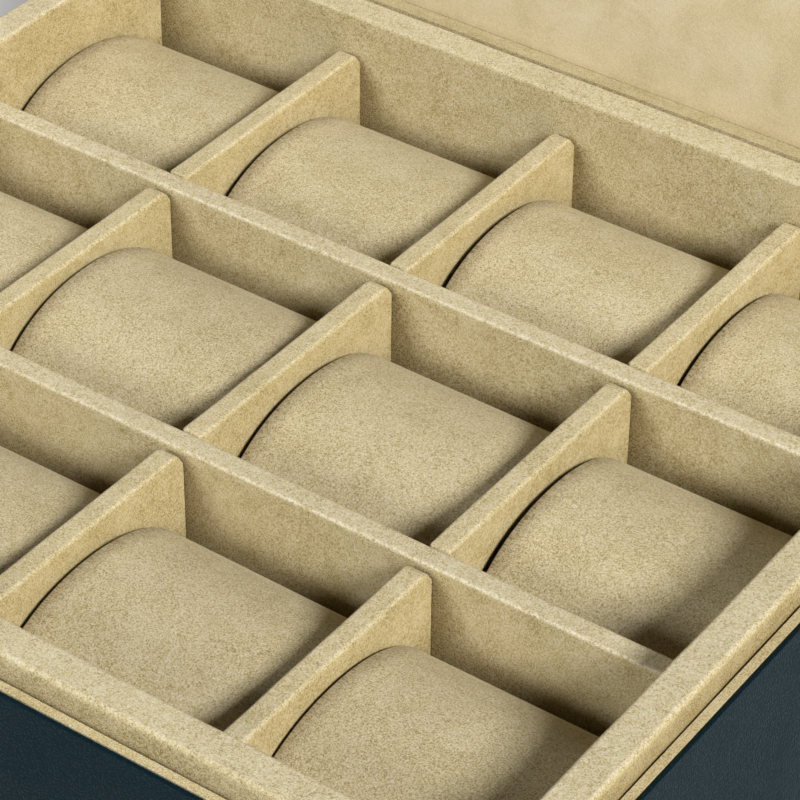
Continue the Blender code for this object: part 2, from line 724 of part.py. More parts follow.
def build():
    base_boards()
    walls = ring_of_boards("base_wall", (WALL_X, WALL_Y), WALL_THICKNESS, WALL_FOOT, RIM, SUEDE)
    leather = leather_cover("base_leather", BOARD_FOOT, RIM, False)
    collar()
    dividers()
    pillows()
    lid_pivot = add_pivot("lid_pivot", HINGE_AXIS)
    lid_walls = lid_boards(lid_pivot)
    lid_leather = leather_cover(
        "lid_leather", LID_RIM, LID_LEATHER_INNER_TOP, True, lid_pivot
    )
    for side, x in (("left", -HINGE_SPACING / 2), ("right", HINGE_SPACING / 2)):
        hinge(side, x, [walls["back"], leather], [lid_walls["back"], lid_leather], lid_pivot)
    catch(walls["front"], leather)
    clasp_bracket(lid_walls["front"], lid_leather, lid_pivot)
    hasp_pivot = add_pivot("hasp_pivot", HASP_AXIS, lid_pivot)
    hasp(hasp_pivot)
    lid_pivot.rotation_euler.x = -LID_OPENED_ANGLE


build()
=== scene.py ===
"""A watch display box in its finishes: suede boards, stuffed pillows, leather, felt and satin steel.

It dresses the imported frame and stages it. Lengths are in metres and +Z is up, as in the frame.
"""

import json
import math

import bmesh
import bpy
from mathutils import Matrix, Vector, noise


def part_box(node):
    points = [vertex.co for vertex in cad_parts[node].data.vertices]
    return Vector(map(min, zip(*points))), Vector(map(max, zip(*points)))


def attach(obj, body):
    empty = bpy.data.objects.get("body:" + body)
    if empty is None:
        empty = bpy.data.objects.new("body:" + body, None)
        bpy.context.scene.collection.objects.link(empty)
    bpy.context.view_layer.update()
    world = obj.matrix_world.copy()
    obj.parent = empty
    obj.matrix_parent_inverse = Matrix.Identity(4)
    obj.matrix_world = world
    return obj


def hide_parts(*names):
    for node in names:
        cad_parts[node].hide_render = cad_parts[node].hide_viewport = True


bl_info = {
    "name": "Watch Display Box",
    "version": (1, 0, 0),
    "blender": (4, 5, 0),
    "location": "View3D > Sidebar > Watch Box",
    "description": "Dresses a watch display box in suede, leather and steel, and stages it",
    "category": "Object",
}

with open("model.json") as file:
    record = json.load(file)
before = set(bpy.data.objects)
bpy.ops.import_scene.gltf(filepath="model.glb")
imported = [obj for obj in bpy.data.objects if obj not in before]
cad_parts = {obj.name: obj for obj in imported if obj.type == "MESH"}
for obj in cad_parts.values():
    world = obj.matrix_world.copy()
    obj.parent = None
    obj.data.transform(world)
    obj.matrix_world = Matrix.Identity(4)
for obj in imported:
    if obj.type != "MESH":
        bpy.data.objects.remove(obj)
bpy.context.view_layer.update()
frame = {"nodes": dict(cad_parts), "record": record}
NODES = frame["nodes"]
BEHAVIOUR = frame["record"]["behaviour"]
BODY_OF_NODE = {node: body for body, nodes in BEHAVIOUR["bodies"].items() for node in nodes}
SLOT_OF_NODE = {row["node"]: row["material_slot"] for row in frame["record"]["subparts"]}
ROWS, COLUMNS = 3, 4
SIDES = ("front", "back", "left", "right")
LONG_NAMES = [f"divider_long_{number}" for number in range(1, ROWS)]
CROSS_NAMES = [f"divider_cross_{number}" for number in range(1, COLUMNS)]
PILLOW_NAMES = [f"pillow_{row}_{column}" for row in range(1, ROWS + 1) for column in range(1, COLUMNS + 1)]
# Two places closer than this are one
CLOSE = 1e-6


# Settings
def a_number(name, description, default, **kind):
    return bpy.props.FloatProperty(name=name, description=description, default=default, **kind)


def a_length(name, description, default):
    return a_number(name, description, default, min=0, subtype="DISTANCE", unit="LENGTH")


def a_power(name, description, default):
    return a_number(name, description, default, min=0, subtype="POWER", unit="POWER")


def an_angle(name, description, degrees):
    return a_number(name, description, math.radians(degrees), subtype="ANGLE", unit="ROTATION")


def a_colour(name, description, default):
    kind = {"subtype": "COLOR", "size": 3, "min": 0, "max": 1}
    return bpy.props.FloatVectorProperty(name=name, description=description, default=default, **kind)


class FinishSettings(bpy.types.PropertyGroup):
    """Colours of the finishes"""

    board_suede: a_colour("Board suede", "Suede of the collar, dividers and rims", (0.56, 0.462, 0.238))
    pillow_suede: a_colour("Pillow suede", "Suede of the pillows", (0.545, 0.452, 0.248))
    lining_suede: a_colour("Lid suede", "Suede of the lid's lining", (0.59, 0.495, 0.3))
    # The near-black colour of the pillows' ends paints the shade in the gap between each pillow and its
    # dividers
    pillow_core: a_colour("Pillow ends", "Dark filling seen at the pillows' ends", (0.008, 0.007, 0.006))
    leather: a_colour("Leather", "Leather of the case and the lid", (0.0025, 0.016, 0.023))
    felt: a_colour("Felt", "Felt under the case", (0.02, 0.02, 0.022))
    board: a_colour("Board", "Raw board of the bottom and the lid", (0.3, 0.28, 0.25))
    steel: a_colour("Steel", "Satin steel of the hinges, the clasp and the screws", (0.56, 0.55, 0.53))


class BoardSettings(bpy.types.PropertyGroup):
    """Shape of the suede-covered boards"""

    collar_radius: a_length("Collar edge", "Radius of the collar's upper edges", 0.001)
    long_radius: a_length("Long divider edge", "Radius of the long dividers' upper edges", 0.0009)
    cross_radius: a_length("Cross divider edge", "Radius of the cross dividers' upper edges", 0.0009)
    end_radius: a_length("Divider end", "Radius of the cross dividers' far upper corners", 0.003)
    lining_radius: a_length("Lining edge", "Radius of the edges of the lid's lining", 0.00012)
    lining_reach: a_length("Lining reach", "How far the lining's cloth reaches past its board", 0.00028)
    leather_edge: a_length("Leather edge", "Radius of the leather's edges", 0.0004)
    waviness: a_length("Waviness", "How far the cloth strays from the flat board", 0.00012)


class PillowSettings(bpy.types.PropertyGroup):
    """Shape of the pillows"""

    swell: a_length("Swell", "How far the filling may push the cover up between its ends", 0.0006)
    side_swell: a_length("Side swell", "How far the filling may push the cover to the front and back", 0.0003)
    pressure: a_number("Filling pressure", "Pressure of the filling in the cloth simulation", 4.0, min=0)
    hem: a_length("Hem", "Radius of the cover's turned edge", 0.0003)
    end_step: a_length("End step", "How far the dark filling lies inside the cover at its sides", 0.0005)
    end_drop: a_length("End drop", "How far the dark filling lies below the cover at its crest", 0.0014)
    end_reach: a_length("End reach", "How far the dark filling shows past the cover's edge", 0.0008)


class MetalSettings(bpy.types.PropertyGroup):
    """Shape of the metal parts"""

    edge: a_length("Edge", "Radius of the metal parts' edges", 0.00015)
    head_radius: a_length("Screw head radius", "Radius of the screws' heads", 0.0018)
    head_height: a_length("Screw head height", "Height of the screws' domed heads", 0.0008)
    head_rim: a_length("Screw head rim", "Height of the upright edge of the screws' heads", 0.00015)
    shank: a_length("Screw length", "Length of the screws below their heads", 0.004)
    shank_radius: a_length("Screw radius", "Radius of the screws below their heads", 0.0009)
    recess_reach: a_length("Recess reach", "Length of each arm of the cross recess, end to end", 0.002)
    recess_width: a_length("Recess width", "Width of the arms of the cross recess", 0.00042)
    recess_depth: a_length("Recess depth", "Depth of the cross recess below the top of the head", 0.0006)


class StageSettings(bpy.types.PropertyGroup):
    """Camera, lamps and floor"""

    azimuth: an_angle("Azimuth", "Camera's turn round the box, from the front towards the right", 35.204)
    elevation: an_angle("Elevation", "Camera's angle above the floor", 37.693)
    roll: an_angle("Roll", "Camera's turn about its own line of sight", 0.555)
    distance: a_length("Distance", "From the camera to the point it looks at", 0.6819)
    target: bpy.props.FloatVectorProperty(
        name="Target",
        description="Point that the camera looks at, on the dividers' tops",
        subtype="TRANSLATION",
        unit="LENGTH",
        size=3,
        default=(0.02923, 0.00045, 0.0567),
    )
    lens: a_number("Lens", "Focal length in millimetres on a sensor 36 mm wide", 144.225, min=1)
    key: a_power("Key lamp", "Power of the softbox on the right", 472.0)
    fill: a_power("Fill lamp", "Power of the softbox on the left", 160.0)
    back: a_power("Back lamp", "Power of the softbox behind the box", 110.0)
    sky: a_number("Room light", "Strength of the even light from the room", 0.03, min=0)
    backdrop: a_number("Backdrop", "Brightness of the room where it is seen or mirrored", 0.75, min=0)
    floor: a_colour("Floor", "Colour of the floor", (0.8, 0.79, 0.77))


class WatchBoxSettings(bpy.types.PropertyGroup):
    """All settings of the box and its stage"""

    finish: bpy.props.PointerProperty(type=FinishSettings, name="Finishes")
    board: bpy.props.PointerProperty(type=BoardSettings, name="Boards")
    pillow: bpy.props.PointerProperty(type=PillowSettings, name="Pillows")
    metal: bpy.props.PointerProperty(type=MetalSettings, name="Metal")
    stage: bpy.props.PointerProperty(type=StageSettings, name="Stage")


def settings():
    return bpy.context.scene.watch_box


# Shader nodes
def feed(tree, node, wires):
    """Feeds a node's inputs, each with a value or with another node's output."""
    for socket, value in wires.items():
        if isinstance(value, bpy.types.NodeSocket):
            tree.links.new(value, node.inputs[socket])
        else:
            node.inputs[socket].default_value = value


def put(tree, kind, wires, **options):
    """Adds a node, sets its options and feeds its inputs."""
    node = tree.nodes.new(kind)
    for option, value in options.items():
        setattr(node, option, value)
    feed(tree, node, wires)
    return node


def maths(tree, operation, a, b, clamp):
    return put(tree, "ShaderNodeMath", {0: a, 1: b}, operation=operation, use_clamp=clamp).outputs[0]


def plus(tree, a, b, clamp=False):
    return maths(tree, "ADD", a, b, clamp)


def minus(tree, a, b, clamp=False):
    return maths(tree, "SUBTRACT", a, b, clamp)


def times(tree, a, b, clamp=False):
    return maths(tree, "MULTIPLY", a, b, clamp)


def blend(tree, share, a, b, blend_type="MIX"):
    """A mix of two colours, by a share from 0 to 1."""
    wires = {0: share, 6: a, 7: b}
    options = {"data_type": "RGBA", "blend_type": blend_type, "clamp_factor": True}
    return put(tree, "ShaderNodeMix", wires, **options).outputs[2]


def speckle(tree, place, scale, detail, distortion=0.0, roughness=0.55):
    """Noise from 0 to 1 whose marks are about one over the scale in size."""
    wires = {"Vector": place, "Scale": scale, "Detail": detail}
    wires.update({"Roughness": roughness, "Distortion": distortion})
    return put(tree, "ShaderNodeTexNoise", wires).outputs["Fac"]


def ramped(tree, value, low, high, to_low=0.0, to_high=1.0, smooth=False):
    """The value with low to high drawn out to to_low to to_high, and held to them."""
    wires = {"Value": value, "From Min": low, "From Max": high, "To Min": to_low, "To Max": to_high}
    kind = "SMOOTHSTEP" if smooth else "LINEAR"
    return put(tree, "ShaderNodeMapRange", wires, interpolation_type=kind, clamp=True).outputs[0]


def bumped(tree, height, distance, strength):
    """The normal over a height."""
    wires = {"Height": height, "Distance": distance, "Strength": strength}
    return put(tree, "ShaderNodeBump", wires).outputs[0]


def marked(tree, mark, output):
    """What a piece's mesh says of each point under this name."""
    return put(tree, "ShaderNodeAttribute", {}, attribute_name=mark).outputs[output]


def rgba(colour, share=1.0):
    return (*[min(1.0, c * share) for c in colour], 1.0)


# What a shared group may put out: the kind of its socket, and the shader's input that it feeds
GROUP_OUTPUTS = {
    "Colour": ("NodeSocketColor", "Base Color"),
    "Roughness": ("NodeSocketFloat", "Roughness"),
    "Normal": ("NodeSocketVector", "Normal"),
}


def shared_group(name, inputs, outputs, draw):
    """The shader group of this name, drawn the first time that it is asked for. Besides its inputs, which
    are colours and numbers, it has a place."""
    if name in bpy.data.node_groups:
        return bpy.data.node_groups[name]
    tree = bpy.data.node_groups.new(name, "ShaderNodeTree")
    tree.interface.new_socket("Place", in_out="INPUT", socket_type="NodeSocketVector")
    for label, value in inputs.items():
        kind = "NodeSocketColor" if isinstance(value, tuple) else "NodeSocketFloat"
        tree.interface.new_socket(label, in_out="INPUT", socket_type=kind).default_value = value
    for label in outputs:
        tree.interface.new_socket(label, in_out="OUTPUT", socket_type=GROUP_OUTPUTS[label][0])
    given = tree.nodes.new("NodeGroupInput").outputs
    feed(tree, tree.nodes.new("NodeGroupOutput"), draw(tree, given))
    return tree


# The nap's fibres and broad patches: their scale beside that of its grains and patches
FIBRE_SCALE, BROAD_SCALE = 0.4, 0.28
# How much each kind of mark counts in the nap's tone and height
FINE_TONE, FIBRE_TONE, BROAD_TONE, FINE_HEIGHT = 1.5, 0.5, 0.7, 0.45


def nap_group():
    """Short napped cloth: brushed patches, fine grains, paler rubbed edges with a painted highlight, painted
    shade on the faces to the left and right, and painted shade in the corners.
    """
    inputs = {
        "Colour": (0.5, 0.4, 0.2, 1),
        "Deep Colour": (0.3, 0.2, 0.1, 1),
        "Pale Colour": (0.7, 0.6, 0.4, 1),
        # The rubbed colour and the rub mask below draw worn paler nap, and also paint a highlight along edges
        # and sheen on flat tops
        "Rubbed Colour": (0.8, 0.7, 0.5, 1),
        "Grains": 3000.0,
        "Patches": 160.0,
        "Grain Contrast": 1.0,
        "Patch Contrast": 1.0,
        "Rub": 0.0,
        # The side mask and its tint paint shade on the faces turned to the left and right
        "Laid": 0.0,
        "Laid Tint": (0.87, 0.83, 0.73, 1),
        # This mask and its warm brown tint paint shade in corners, low on the boards, on the collar's outside
        # and near the ends of the pillows and the lining
        "Unbrushed": 0.0,
        "Unbrushed Tint": (0.48, 0.43, 0.3, 1),
        "Pile": 0.0002,
    }

    def draw(tree, given):
        place = given["Place"]
        fine = speckle(tree, place, given["Grains"], 2.0, 0.5, 0.7)
        fibres = speckle(tree, place, times(tree, given["Grains"], FIBRE_SCALE), 3.0, 1.2, 0.6)
        patches = speckle(tree, place, given["Patches"], 5.0, 0.7, 0.62)
        broad = speckle(tree, place, times(tree, given["Patches"], BROAD_SCALE), 2.0, 0.6)
        grain = plus(tree, times(tree, fine, FINE_TONE), times(tree, fibres, FIBRE_TONE))
        # The grains show stronger where shade is painted
        contrast = times(tree, given["Grain Contrast"], plus(tree, given["Unbrushed"], 1.0))
        grain = times(tree, minus(tree, grain, (FINE_TONE + FIBRE_TONE) / 2), contrast)
        brushed = plus(tree, patches, times(tree, broad, BROAD_TONE))
        brushed = times(tree, minus(tree, brushed, (1 + BROAD_TONE) / 2), given["Patch Contrast"])
        twice = times(tree, plus(tree, plus(tree, grain, brushed), 0.5), 2.0)
        colour = blend(tree, times(tree, twice, 1.0, clamp=True), given["Deep Colour"], given["Colour"])
        colour = blend(tree, minus(tree, twice, 1.0, clamp=True), colour, given["Pale Colour"])
        # Worn paler nap, which also paints a highlight on edges and sheen on flat tops
        rub_and_highlight_share = times(tree, given["Rub"], ramped(tree, fibres, 0.42, 0.58, 0.15, 1.0), clamp=True)
        colour = blend(tree, rub_and_highlight_share, colour, given["Rubbed Colour"])
        # Painted shade on the faces turned to the left and right
        colour = blend(tree, given["Laid"], colour, given["Laid Tint"], "MULTIPLY")
        # Painted shade in corners, low down and near ends
        colour = blend(tree, given["Unbrushed"], colour, given["Unbrushed Tint"], "MULTIPLY")
        height = plus(tree, times(tree, fine, FINE_HEIGHT), fibres)
        return {"Colour": colour, "Normal": bumped(tree, height, given["Pile"], 0.5)}

    return shared_group("Napped cloth", inputs, ("Colour", "Normal"), draw)


# The scales of the leather's uneven rows, fine grain and broad wear
WANDER_SCALE, FINE_LEATHER_SCALE, WEAR_SCALE = 420.0, 5200.0, 38.0
WANDER_REACH = 0.0009
# How much of a pebble's width its creases take up
CREASE_WIDTH = 0.34
CREASE_ROUGHNESS, WEAR_ROUGHNESS = 0.15, 0.25


def leather_group():
    """Fine pebbled leather: cells with creases between them, softened by wear."""
    inputs = {
        "Colour": (0.01, 0.02, 0.03, 1),
        "Crease Colour": (0.004, 0.006, 0.008, 1),
        "Pebbles": 1100.0,
        "Gloss": 0.38,
        "Depth": 0.00014,
    }

    def draw(tree, given):
        place = given["Place"]
        wires = {"Vector": place, "Scale": WANDER_SCALE, "Detail": 2.0}
        wander = put(tree, "ShaderNodeTexNoise", wires).outputs["Color"]
        wires = {0: wander, 1: [WANDER_REACH] * 3, 2: place}
        shifted = put(tree, "ShaderNodeVectorMath", wires, operation="MULTIPLY_ADD").outputs[0]
        wires = {"Vector": shifted, "Scale": given["Pebbles"], "Randomness": 0.9}
        cells = put(tree, "ShaderNodeTexVoronoi", wires, feature="DISTANCE_TO_EDGE").outputs["Distance"]
        pebble = ramped(tree, cells, 0.0, CREASE_WIDTH, smooth=True)
        fine = speckle(tree, place, FINE_LEATHER_SCALE, 2.0)
        worn = speckle(tree, place, WEAR_SCALE, 3.0, 0.5)
        tone = times(tree, pebble, ramped(tree, worn, 0.3, 0.7, 0.8, 1.0))
        rough = plus(tree, given["Gloss"], times(tree, minus(tree, worn, 0.5), WEAR_ROUGHNESS))
        rough = plus(tree, rough, times(tree, minus(tree, 1.0, pebble), CREASE_ROUGHNESS))
        height = plus(tree, pebble, times(tree, fine, 0.25))
        return {
            "Colour": blend(tree, tone, given["Crease Colour"], given["Colour"]),
            "Roughness": rough,
            "Normal": bumped(tree, height, given["Depth"], 1.0),
        }

    return shared_group("Pebbled leather", inputs, ("Colour", "Roughness", "Normal"), draw)


# How far satin strokes are drawn out along their way
STROKE_STRETCH = (0.04, 1.0, 1.0)
STROKE_DEPTH = 0.00003
SMUDGE_SCALE = 140.0
SMUDGE_COLOUR = (0.42, 0.41, 0.39, 1)


def steel_group():
    """Satin metal: fine strokes along one way, with smudges."""
    inputs = {"Colour": (0.56, 0.55, 0.53, 1), "Strokes": 9000.0}

    def draw(tree, given):
        wires = {0: given["Place"], 1: STROKE_STRETCH}
        drawn = put(tree, "ShaderNodeVectorMath", wires, operation="MULTIPLY").outputs[0]
        strokes = speckle(tree, drawn, given["Strokes"], 3.0)
        smudges = speckle(tree, given["Place"], SMUDGE_SCALE, 4.0, 0.8)
        rough = ramped(tree, strokes, 0.3, 0.7, 0.2, 0.34)
        smudged = ramped(tree, smudges, 0.35, 0.75, 0.0, 0.35)
        return {
            "Colour": blend(tree, smudged, given["Colour"], SMUDGE_COLOUR),
            "Roughness": plus(tree, rough, ramped(tree, smudges, 0.4, 0.8, 0.0, 0.12)),
            "Normal": bumped(tree, strokes, STROKE_DEPTH, 0.25),
        }

    return shared_group("Satin strokes", inputs, ("Colour", "Roughness", "Normal"), draw)


# Looks
def look_named(name, draw):
    """The material of this name, drawn the first time that it is asked for. It is drawn from its shader and
    from each point's place in the object's own metres."""
    look = bpy.data.materials.get(name)
    if look is None:
        look = bpy.data.materials.new(name)
        look.use_nodes = True
        tree = look.node_tree
        place = put(tree, "ShaderNodeTexCoord", {}).outputs["Object"]
        draw(tree, tree.nodes["Principled BSDF"], place)
    return look


def dress(tree, shader, group, wires, constants):
    """Feeds a shader from a shared group, and sets what is the same all over on the shader itself."""
    placed = put(tree, "ShaderNodeGroup", wires, node_tree=group)
    feed(tree, shader, {GROUP_OUTPUTS[output.name][1]: output for output in placed.outputs})
    feed(tree, shader, constants)


def deeper(colour, share):
    """The colour of the same cloth between its fibres: darker, and more so in blue than in red."""
    red, green, blue = colour
    return (red * share, green * share**1.12, blue * share**1.4)


def paler(colour, share):
    """The colour of the same cloth where it is rubbed or catches the light: lighter and greyer."""
    share *= max(colour)
    return tuple(c + (1 - c) * share for c in colour)


# The rubbed colour is worn paler nap, and also the painted highlight on edges and the painted sheen on tops
PALE_SHARE, RUB_HIGHLIGHT_SHARE = 0.5, 0.8
SHEEN_TINT = (1.0, 0.94, 0.76)
# The napped cloths: the setting that holds the colour, its share between the fibres, the scale of the
# patches, the contrast of the grains and of the patches, and the sheen
CLOTHS = {
    "board suede": ("board_suede", 0.5, 230.0, 1.75, 0.6, 0.1),
    "rim suede": ("board_suede", 0.5, 230.0, 1.75, 0.6, 0.1),
    "pillow suede": ("pillow_suede", 0.5, 150.0, 1.9, 0.45, 0.1),
    "lid suede": ("lining_suede", 0.62, 90.0, 0.5, 0.6, 0.1),
    "dark filling": ("pillow_core", 0.6, 400.0, 0.5, 0.5, 0.0),
    "black felt": ("felt", 0.5, 300.0, 1.2, 0.8, 0.1),
}
# Those of imported nodes, which take their place in the box. The pieces made here say where each point lies on
# the cloth, how rubbed the nap is there, with its painted highlight and sheen, and where shade is painted on
# it
PACKED_CLOTHS = ("rim suede", "black felt")


def cloth(name):
    """One of the napped cloths."""
    setting, deep, patches, grain, patch, sheen = CLOTHS[name]

    def draw(tree, shader, place):
        colour = getattr(settings().finish, setting)
        wires = {
            "Place": place,
            "Colour": rgba(colour),
            "Deep Colour": rgba(deeper(colour, deep)),
            "Pale Colour": rgba(paler(colour, PALE_SHARE)),
            "Rubbed Colour": rgba(paler(colour, RUB_HIGHLIGHT_SHARE)),
            "Patches": patches,
            "Grain Contrast": grain,
            "Patch Contrast": patch,
        }
        if name not in PACKED_CLOTHS:
            wires["Place"] = marked(tree, "cloth_place", "Vector")
            # Masks for the rubbed nap with its painted highlight, and for painted shade on the sides and in
            # the corners
            wires.update({mark: marked(tree, mark.lower(), "Fac") for mark in ("Rub", "Laid", "Unbrushed")})
        constants = {
            "Roughness": 0.95,
            "Specular IOR Level": 0.15,
            "Sheen Weight": sheen,
            "Sheen Roughness": 0.5,
            "Sheen Tint": rgba(SHEEN_TINT),
        }
        dress(tree, shader, nap_group(), wires, constants)

    return look_named(name, draw)


CREASE_SHARE = 0.7


def leather():
    def draw(tree, shader, place):
        colour = settings().finish.leather
        wires = {"Place": place, "Colour": rgba(colour), "Crease Colour": rgba(colour, CREASE_SHARE)}
        dress(tree, shader, leather_group(), wires, {"Specular IOR Level": 0.4, "IOR": 1.16})

    return look_named("teal leather", draw)


def steel():
    def draw(tree, shader, place):
        wires = {"Place": place, "Colour": rgba(settings().finish.steel)}
        dress(tree, shader, steel_group(), wires, {"Metallic": 1.0})

    return look_named("satin steel", draw)


BOARD_FIBRES, BOARD_PILE = 900.0, 0.0001
DARK_BOARD_SHARE, PALE_BOARD_SHARE = 0.75, 1.15


def raw_board():
    def draw(tree, shader, place):
        colour = settings().finish.board
        fibres = speckle(tree, place, BOARD_FIBRES, 4.0, 1.0)
        dark, pale = rgba(colour, DARK_BOARD_SHARE), rgba(colour, PALE_BOARD_SHARE)
        mixed = blend(tree, ramped(tree, fibres, 0.3, 0.7), dark, pale)
        normal = bumped(tree, fibres, BOARD_PILE, 0.4)
        feed(tree, shader, {"Base Color": mixed, "Normal": normal, "Roughness": 0.9})

    return look_named("raw board", draw)


FLOOR_MOTTLE, FLOOR_DARK_SHARE = 6.0, 0.98


def floor_paint():
    def draw(tree, shader, place):
        colour = settings().stage.floor
        mottle = ramped(tree, speckle(tree, place, FLOOR_MOTTLE, 3.0), 0.3, 0.7)
        mixed = blend(tree, mottle, rgba(colour, FLOOR_DARK_SHARE), rgba(colour))
        feed(tree, shader, {"Base Color": mixed, "Roughness": 0.7})

    return look_named("floor", draw)


def refinish(node, look):
    """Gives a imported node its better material."""
    for slot in NODES[node].material_slots:
        slot.material = look


# Meshes
def cloth_shift(name):
    """Where a piece's cloth was cut, so that no two pieces share their patches."""
    number = sum((place + 1) * ord(letter) for place, letter in enumerate(name))
    return Vector((math.sin(number), math.sin(2 * number), math.cos(number)))


def make_object(name, bm, looks=()):
    """An object of a mesh that stands in the frame."""
    mesh = bpy.data.meshes.new(name)
    bm.to_mesh(mesh)
    bm.free()
    for look in looks:
        mesh.materials.append(look)
    made = bpy.data.objects.new(name, mesh)
    bpy.context.scene.collection.objects.link(made)
    return made


def finish_piece(name, bm, looks, node):
    """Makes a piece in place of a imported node."""
    piece = make_object(name, bm, looks)
    mesh = piece.data
    mesh.shade_smooth()
    shift = cloth_shift(name)
    place = mesh.attributes.new("cloth_place", "FLOAT_VECTOR", "POINT")
    place.data.foreach_set("vector", [value for vertex in mesh.vertices for value in vertex.co + shift])
    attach(piece, BODY_OF_NODE[node])
    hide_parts(node)
    return piece


def weigh_normals(piece):
    """Keeps the flats looking flat beside their rounded edges."""
    weighted = piece.modifiers.new("Weighted normals", "WEIGHTED_NORMAL")
    weighted.keep_sharp = True
    weighted.weight = 100


def slice_mesh(bm, axis, places):
    """Cuts a mesh across one axis at each place, so that it can wave there."""
    across = Vector([float(i == axis) for i in range(3)])
    for place in places:
        geom = [*bm.verts, *bm.edges, *bm.faces]
        bmesh.ops.bisect_plane(bm, geom=geom, plane_co=across * place, plane_no=across, dist=CLOSE)


def steps(low, high, pitch):
    """Places between low and high, evenly and about a pitch apart."""
    count = max(1, round((high - low) / pitch))
    return [low + (high - low) * i / count for i in range(1, count)]


def eased(value):
    """A smooth step from 0 to 1."""
    value = min(1.0, max(0.0, value))
    return value * value * (3 - 2 * value)


SHARP_ANGLE = math.radians(50)
CORNER_ANGLE = math.radians(40)
FLAT_ANGLE = math.radians(0.5)


def mark_sharp(bm):
    for edge in bm.edges:
        edge.smooth = edge.calc_face_angle(0.0) < SHARP_ANGLE


def soften(node, look, radius):
    """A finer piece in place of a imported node: its sharp edges are rounded."""
    bm = bmesh.new()
    bm.from_mesh(NODES[node].data)
    bmesh.ops.remove_doubles(bm, verts=bm.verts, dist=CLOSE)
    bmesh.ops.dissolve_limit(bm, angle_limit=FLAT_ANGLE, verts=bm.verts, edges=bm.edges)
    edges = [edge for edge in bm.edges if abs(edge.calc_face_angle(0.0)) > CORNER_ANGLE]
    rounding = {"offset": radius, "segments": 2, "profile": 0.6, "clamp_overlap": True}
    bmesh.ops.bevel(bm, geom=edges, affect="EDGES", **rounding)
    bmesh.ops.recalc_face_normals(bm, faces=bm.faces)
    mark_sharp(bm)
    weigh_normals(finish_piece(f"{node}_shape", bm, [look], node))


# Boards
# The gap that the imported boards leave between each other
BOARD_GAP = 0.0003
# Where a board is sliced: along it, below its top, and beside the boards that cross it
SLICE_PITCH = 0.0035
SLICE_DEPTHS = (0.0018, 0.0035, 0.006, 0.01, 0.016, 0.023, 0.032)
CORNER_SLICES = (0.001, 0.003, 0.006)
ARC_STEPS = 5
# How far below a board's top its rounded corners reach
TOP_ZONE = 0.0025
# The near upper corners of the cross dividers are rounded by this share of the far ones
NEAR_END_SHARE = 0.37
# The cloth's waves: their length, a finer wave's count in it and share of it, and the height from the
# board's foot that they grow over
WAVE_LENGTH = 0.014
FINE_WAVES, FINE_WAVE_SHARE = 2.7, 0.5
WAVE_RISE = 0.01
# How rubbed a board's rounded edges are, towards the front or the left and towards the back or the right, and
# how rubbed its flat top is. The rubbed nap is worn paler, and it also paints a highlight along the edges and
# sheen on the flat top
RUB_HIGHLIGHT_SHARES = {
    "front collar": (0.08, 0.25, 0.3),
    "collar": (0.25, 0.25, 0.3),
    "long divider": (0.85, 0.25, 0.35),
    "cross divider": (0.1, 0.1, 0.1),
}
RIDGE_SHARPNESS = 3
FLAT_TOP_SHARE = 0.7
# Painted shade on the faces turned to the left and right: from which share of a turn to the side it starts,
# and the least turn that is weighed
SIDE_SHADE_START, SIDE_SHADE_LEAST = 0.55, 0.3
# Painted shade low on a board, beside a crossing board and on the collar's outside: the depth where it starts,
# the depth that it grows over, and its share
FOOT_START, FOOT_DEPTH, FOOT_SHARE = 0.0122, 0.013, 0.7
CORNER_START, CORNER_DEPTH, CORNER_SHARE = 0.0005, 0.004, 0.85
OUTSIDE_START, OUTSIDE_DEPTH, OUTSIDE_SHARE = 0.001, 0.0012, 0.45
# How far it reaches from a crossing board at the top, and how much farther for each metre down
CORNER_REACH, CORNER_SPREAD = 0.0055, 0.25
# What lies within this of the collar's outermost face is its outside
OUTSIDE_REACH = 0.0004


def plain_outline(low, high, along):
    return [(low[along], low.z), (high[along], low.z), (high[along], high.z), (low[along], high.z)]


def round_corners(outline, top, far_radius, near_radius):
    """The outline with its corners at the top drawn as arcs: wider ones at the far end of each run."""
    made = []
    for number, (along, up) in enumerate(outline):
        corner = Vector((along, up))
        if abs(up - top) > CLOSE:
            made.append(corner)
            continue
        before = Vector(outline[number - 1]) - corner
        after = Vector(outline[(number + 1) % len(outline)]) - corner
        radius = far_radius if min(before.x, after.x) < -CLOSE else near_radius
        first, last = before.normalized() * radius, after.normalized() * radius
        for step in range(ARC_STEPS + 1):
            angle = math.pi / 2 * step / ARC_STEPS
            made.append(corner + first * (1 - math.sin(angle)) + last * (1 - math.cos(angle)))
    return made


def outline_board(outline, across, low, high):
    """A board: an outline in the plane across one axis, drawn out from low to high along it."""
    bm = bmesh.new()
    axis = Vector([float(i == across) for i in range(3)])
    corners = []
    for along, up in outline:
        place = Vector((along, along, up))
        place[across] = low
        corners.append(bm.verts.new(place))
    face = bm.faces.new(corners)
    drawn = bmesh.ops.extrude_face_region(bm, geom=[face])["geom"]
    ends = [item for item in drawn if isinstance(item, bmesh.types.BMVert)]
    bmesh.ops.translate(bm, vec=axis * (high - low), verts=ends)
    bmesh.ops.recalc_face_normals(bm, faces=bm.faces)
    return bm


def round_top(bm, across, top, radius):
    """Rounds the two long upper edges and, where the board has rounded corners, its upright ones."""
    edges = []
    for edge in bm.edges:
        one, other = (vertex.co for vertex in edge.verts)
        low, high = sorted((one.z, other.z))
        at_top = low > top - TOP_ZONE
        below_arc = high - low > TOP_ZONE and top - TOP_ZONE < high < top - CLOSE
        if abs(one[across] - other[across]) < CLOSE and (at_top or below_arc):
            edges.append(edge)
    bmesh.ops.bevel(bm, geom=edges, offset=radius, segments=4, profile=0.5, affect="EDGES")


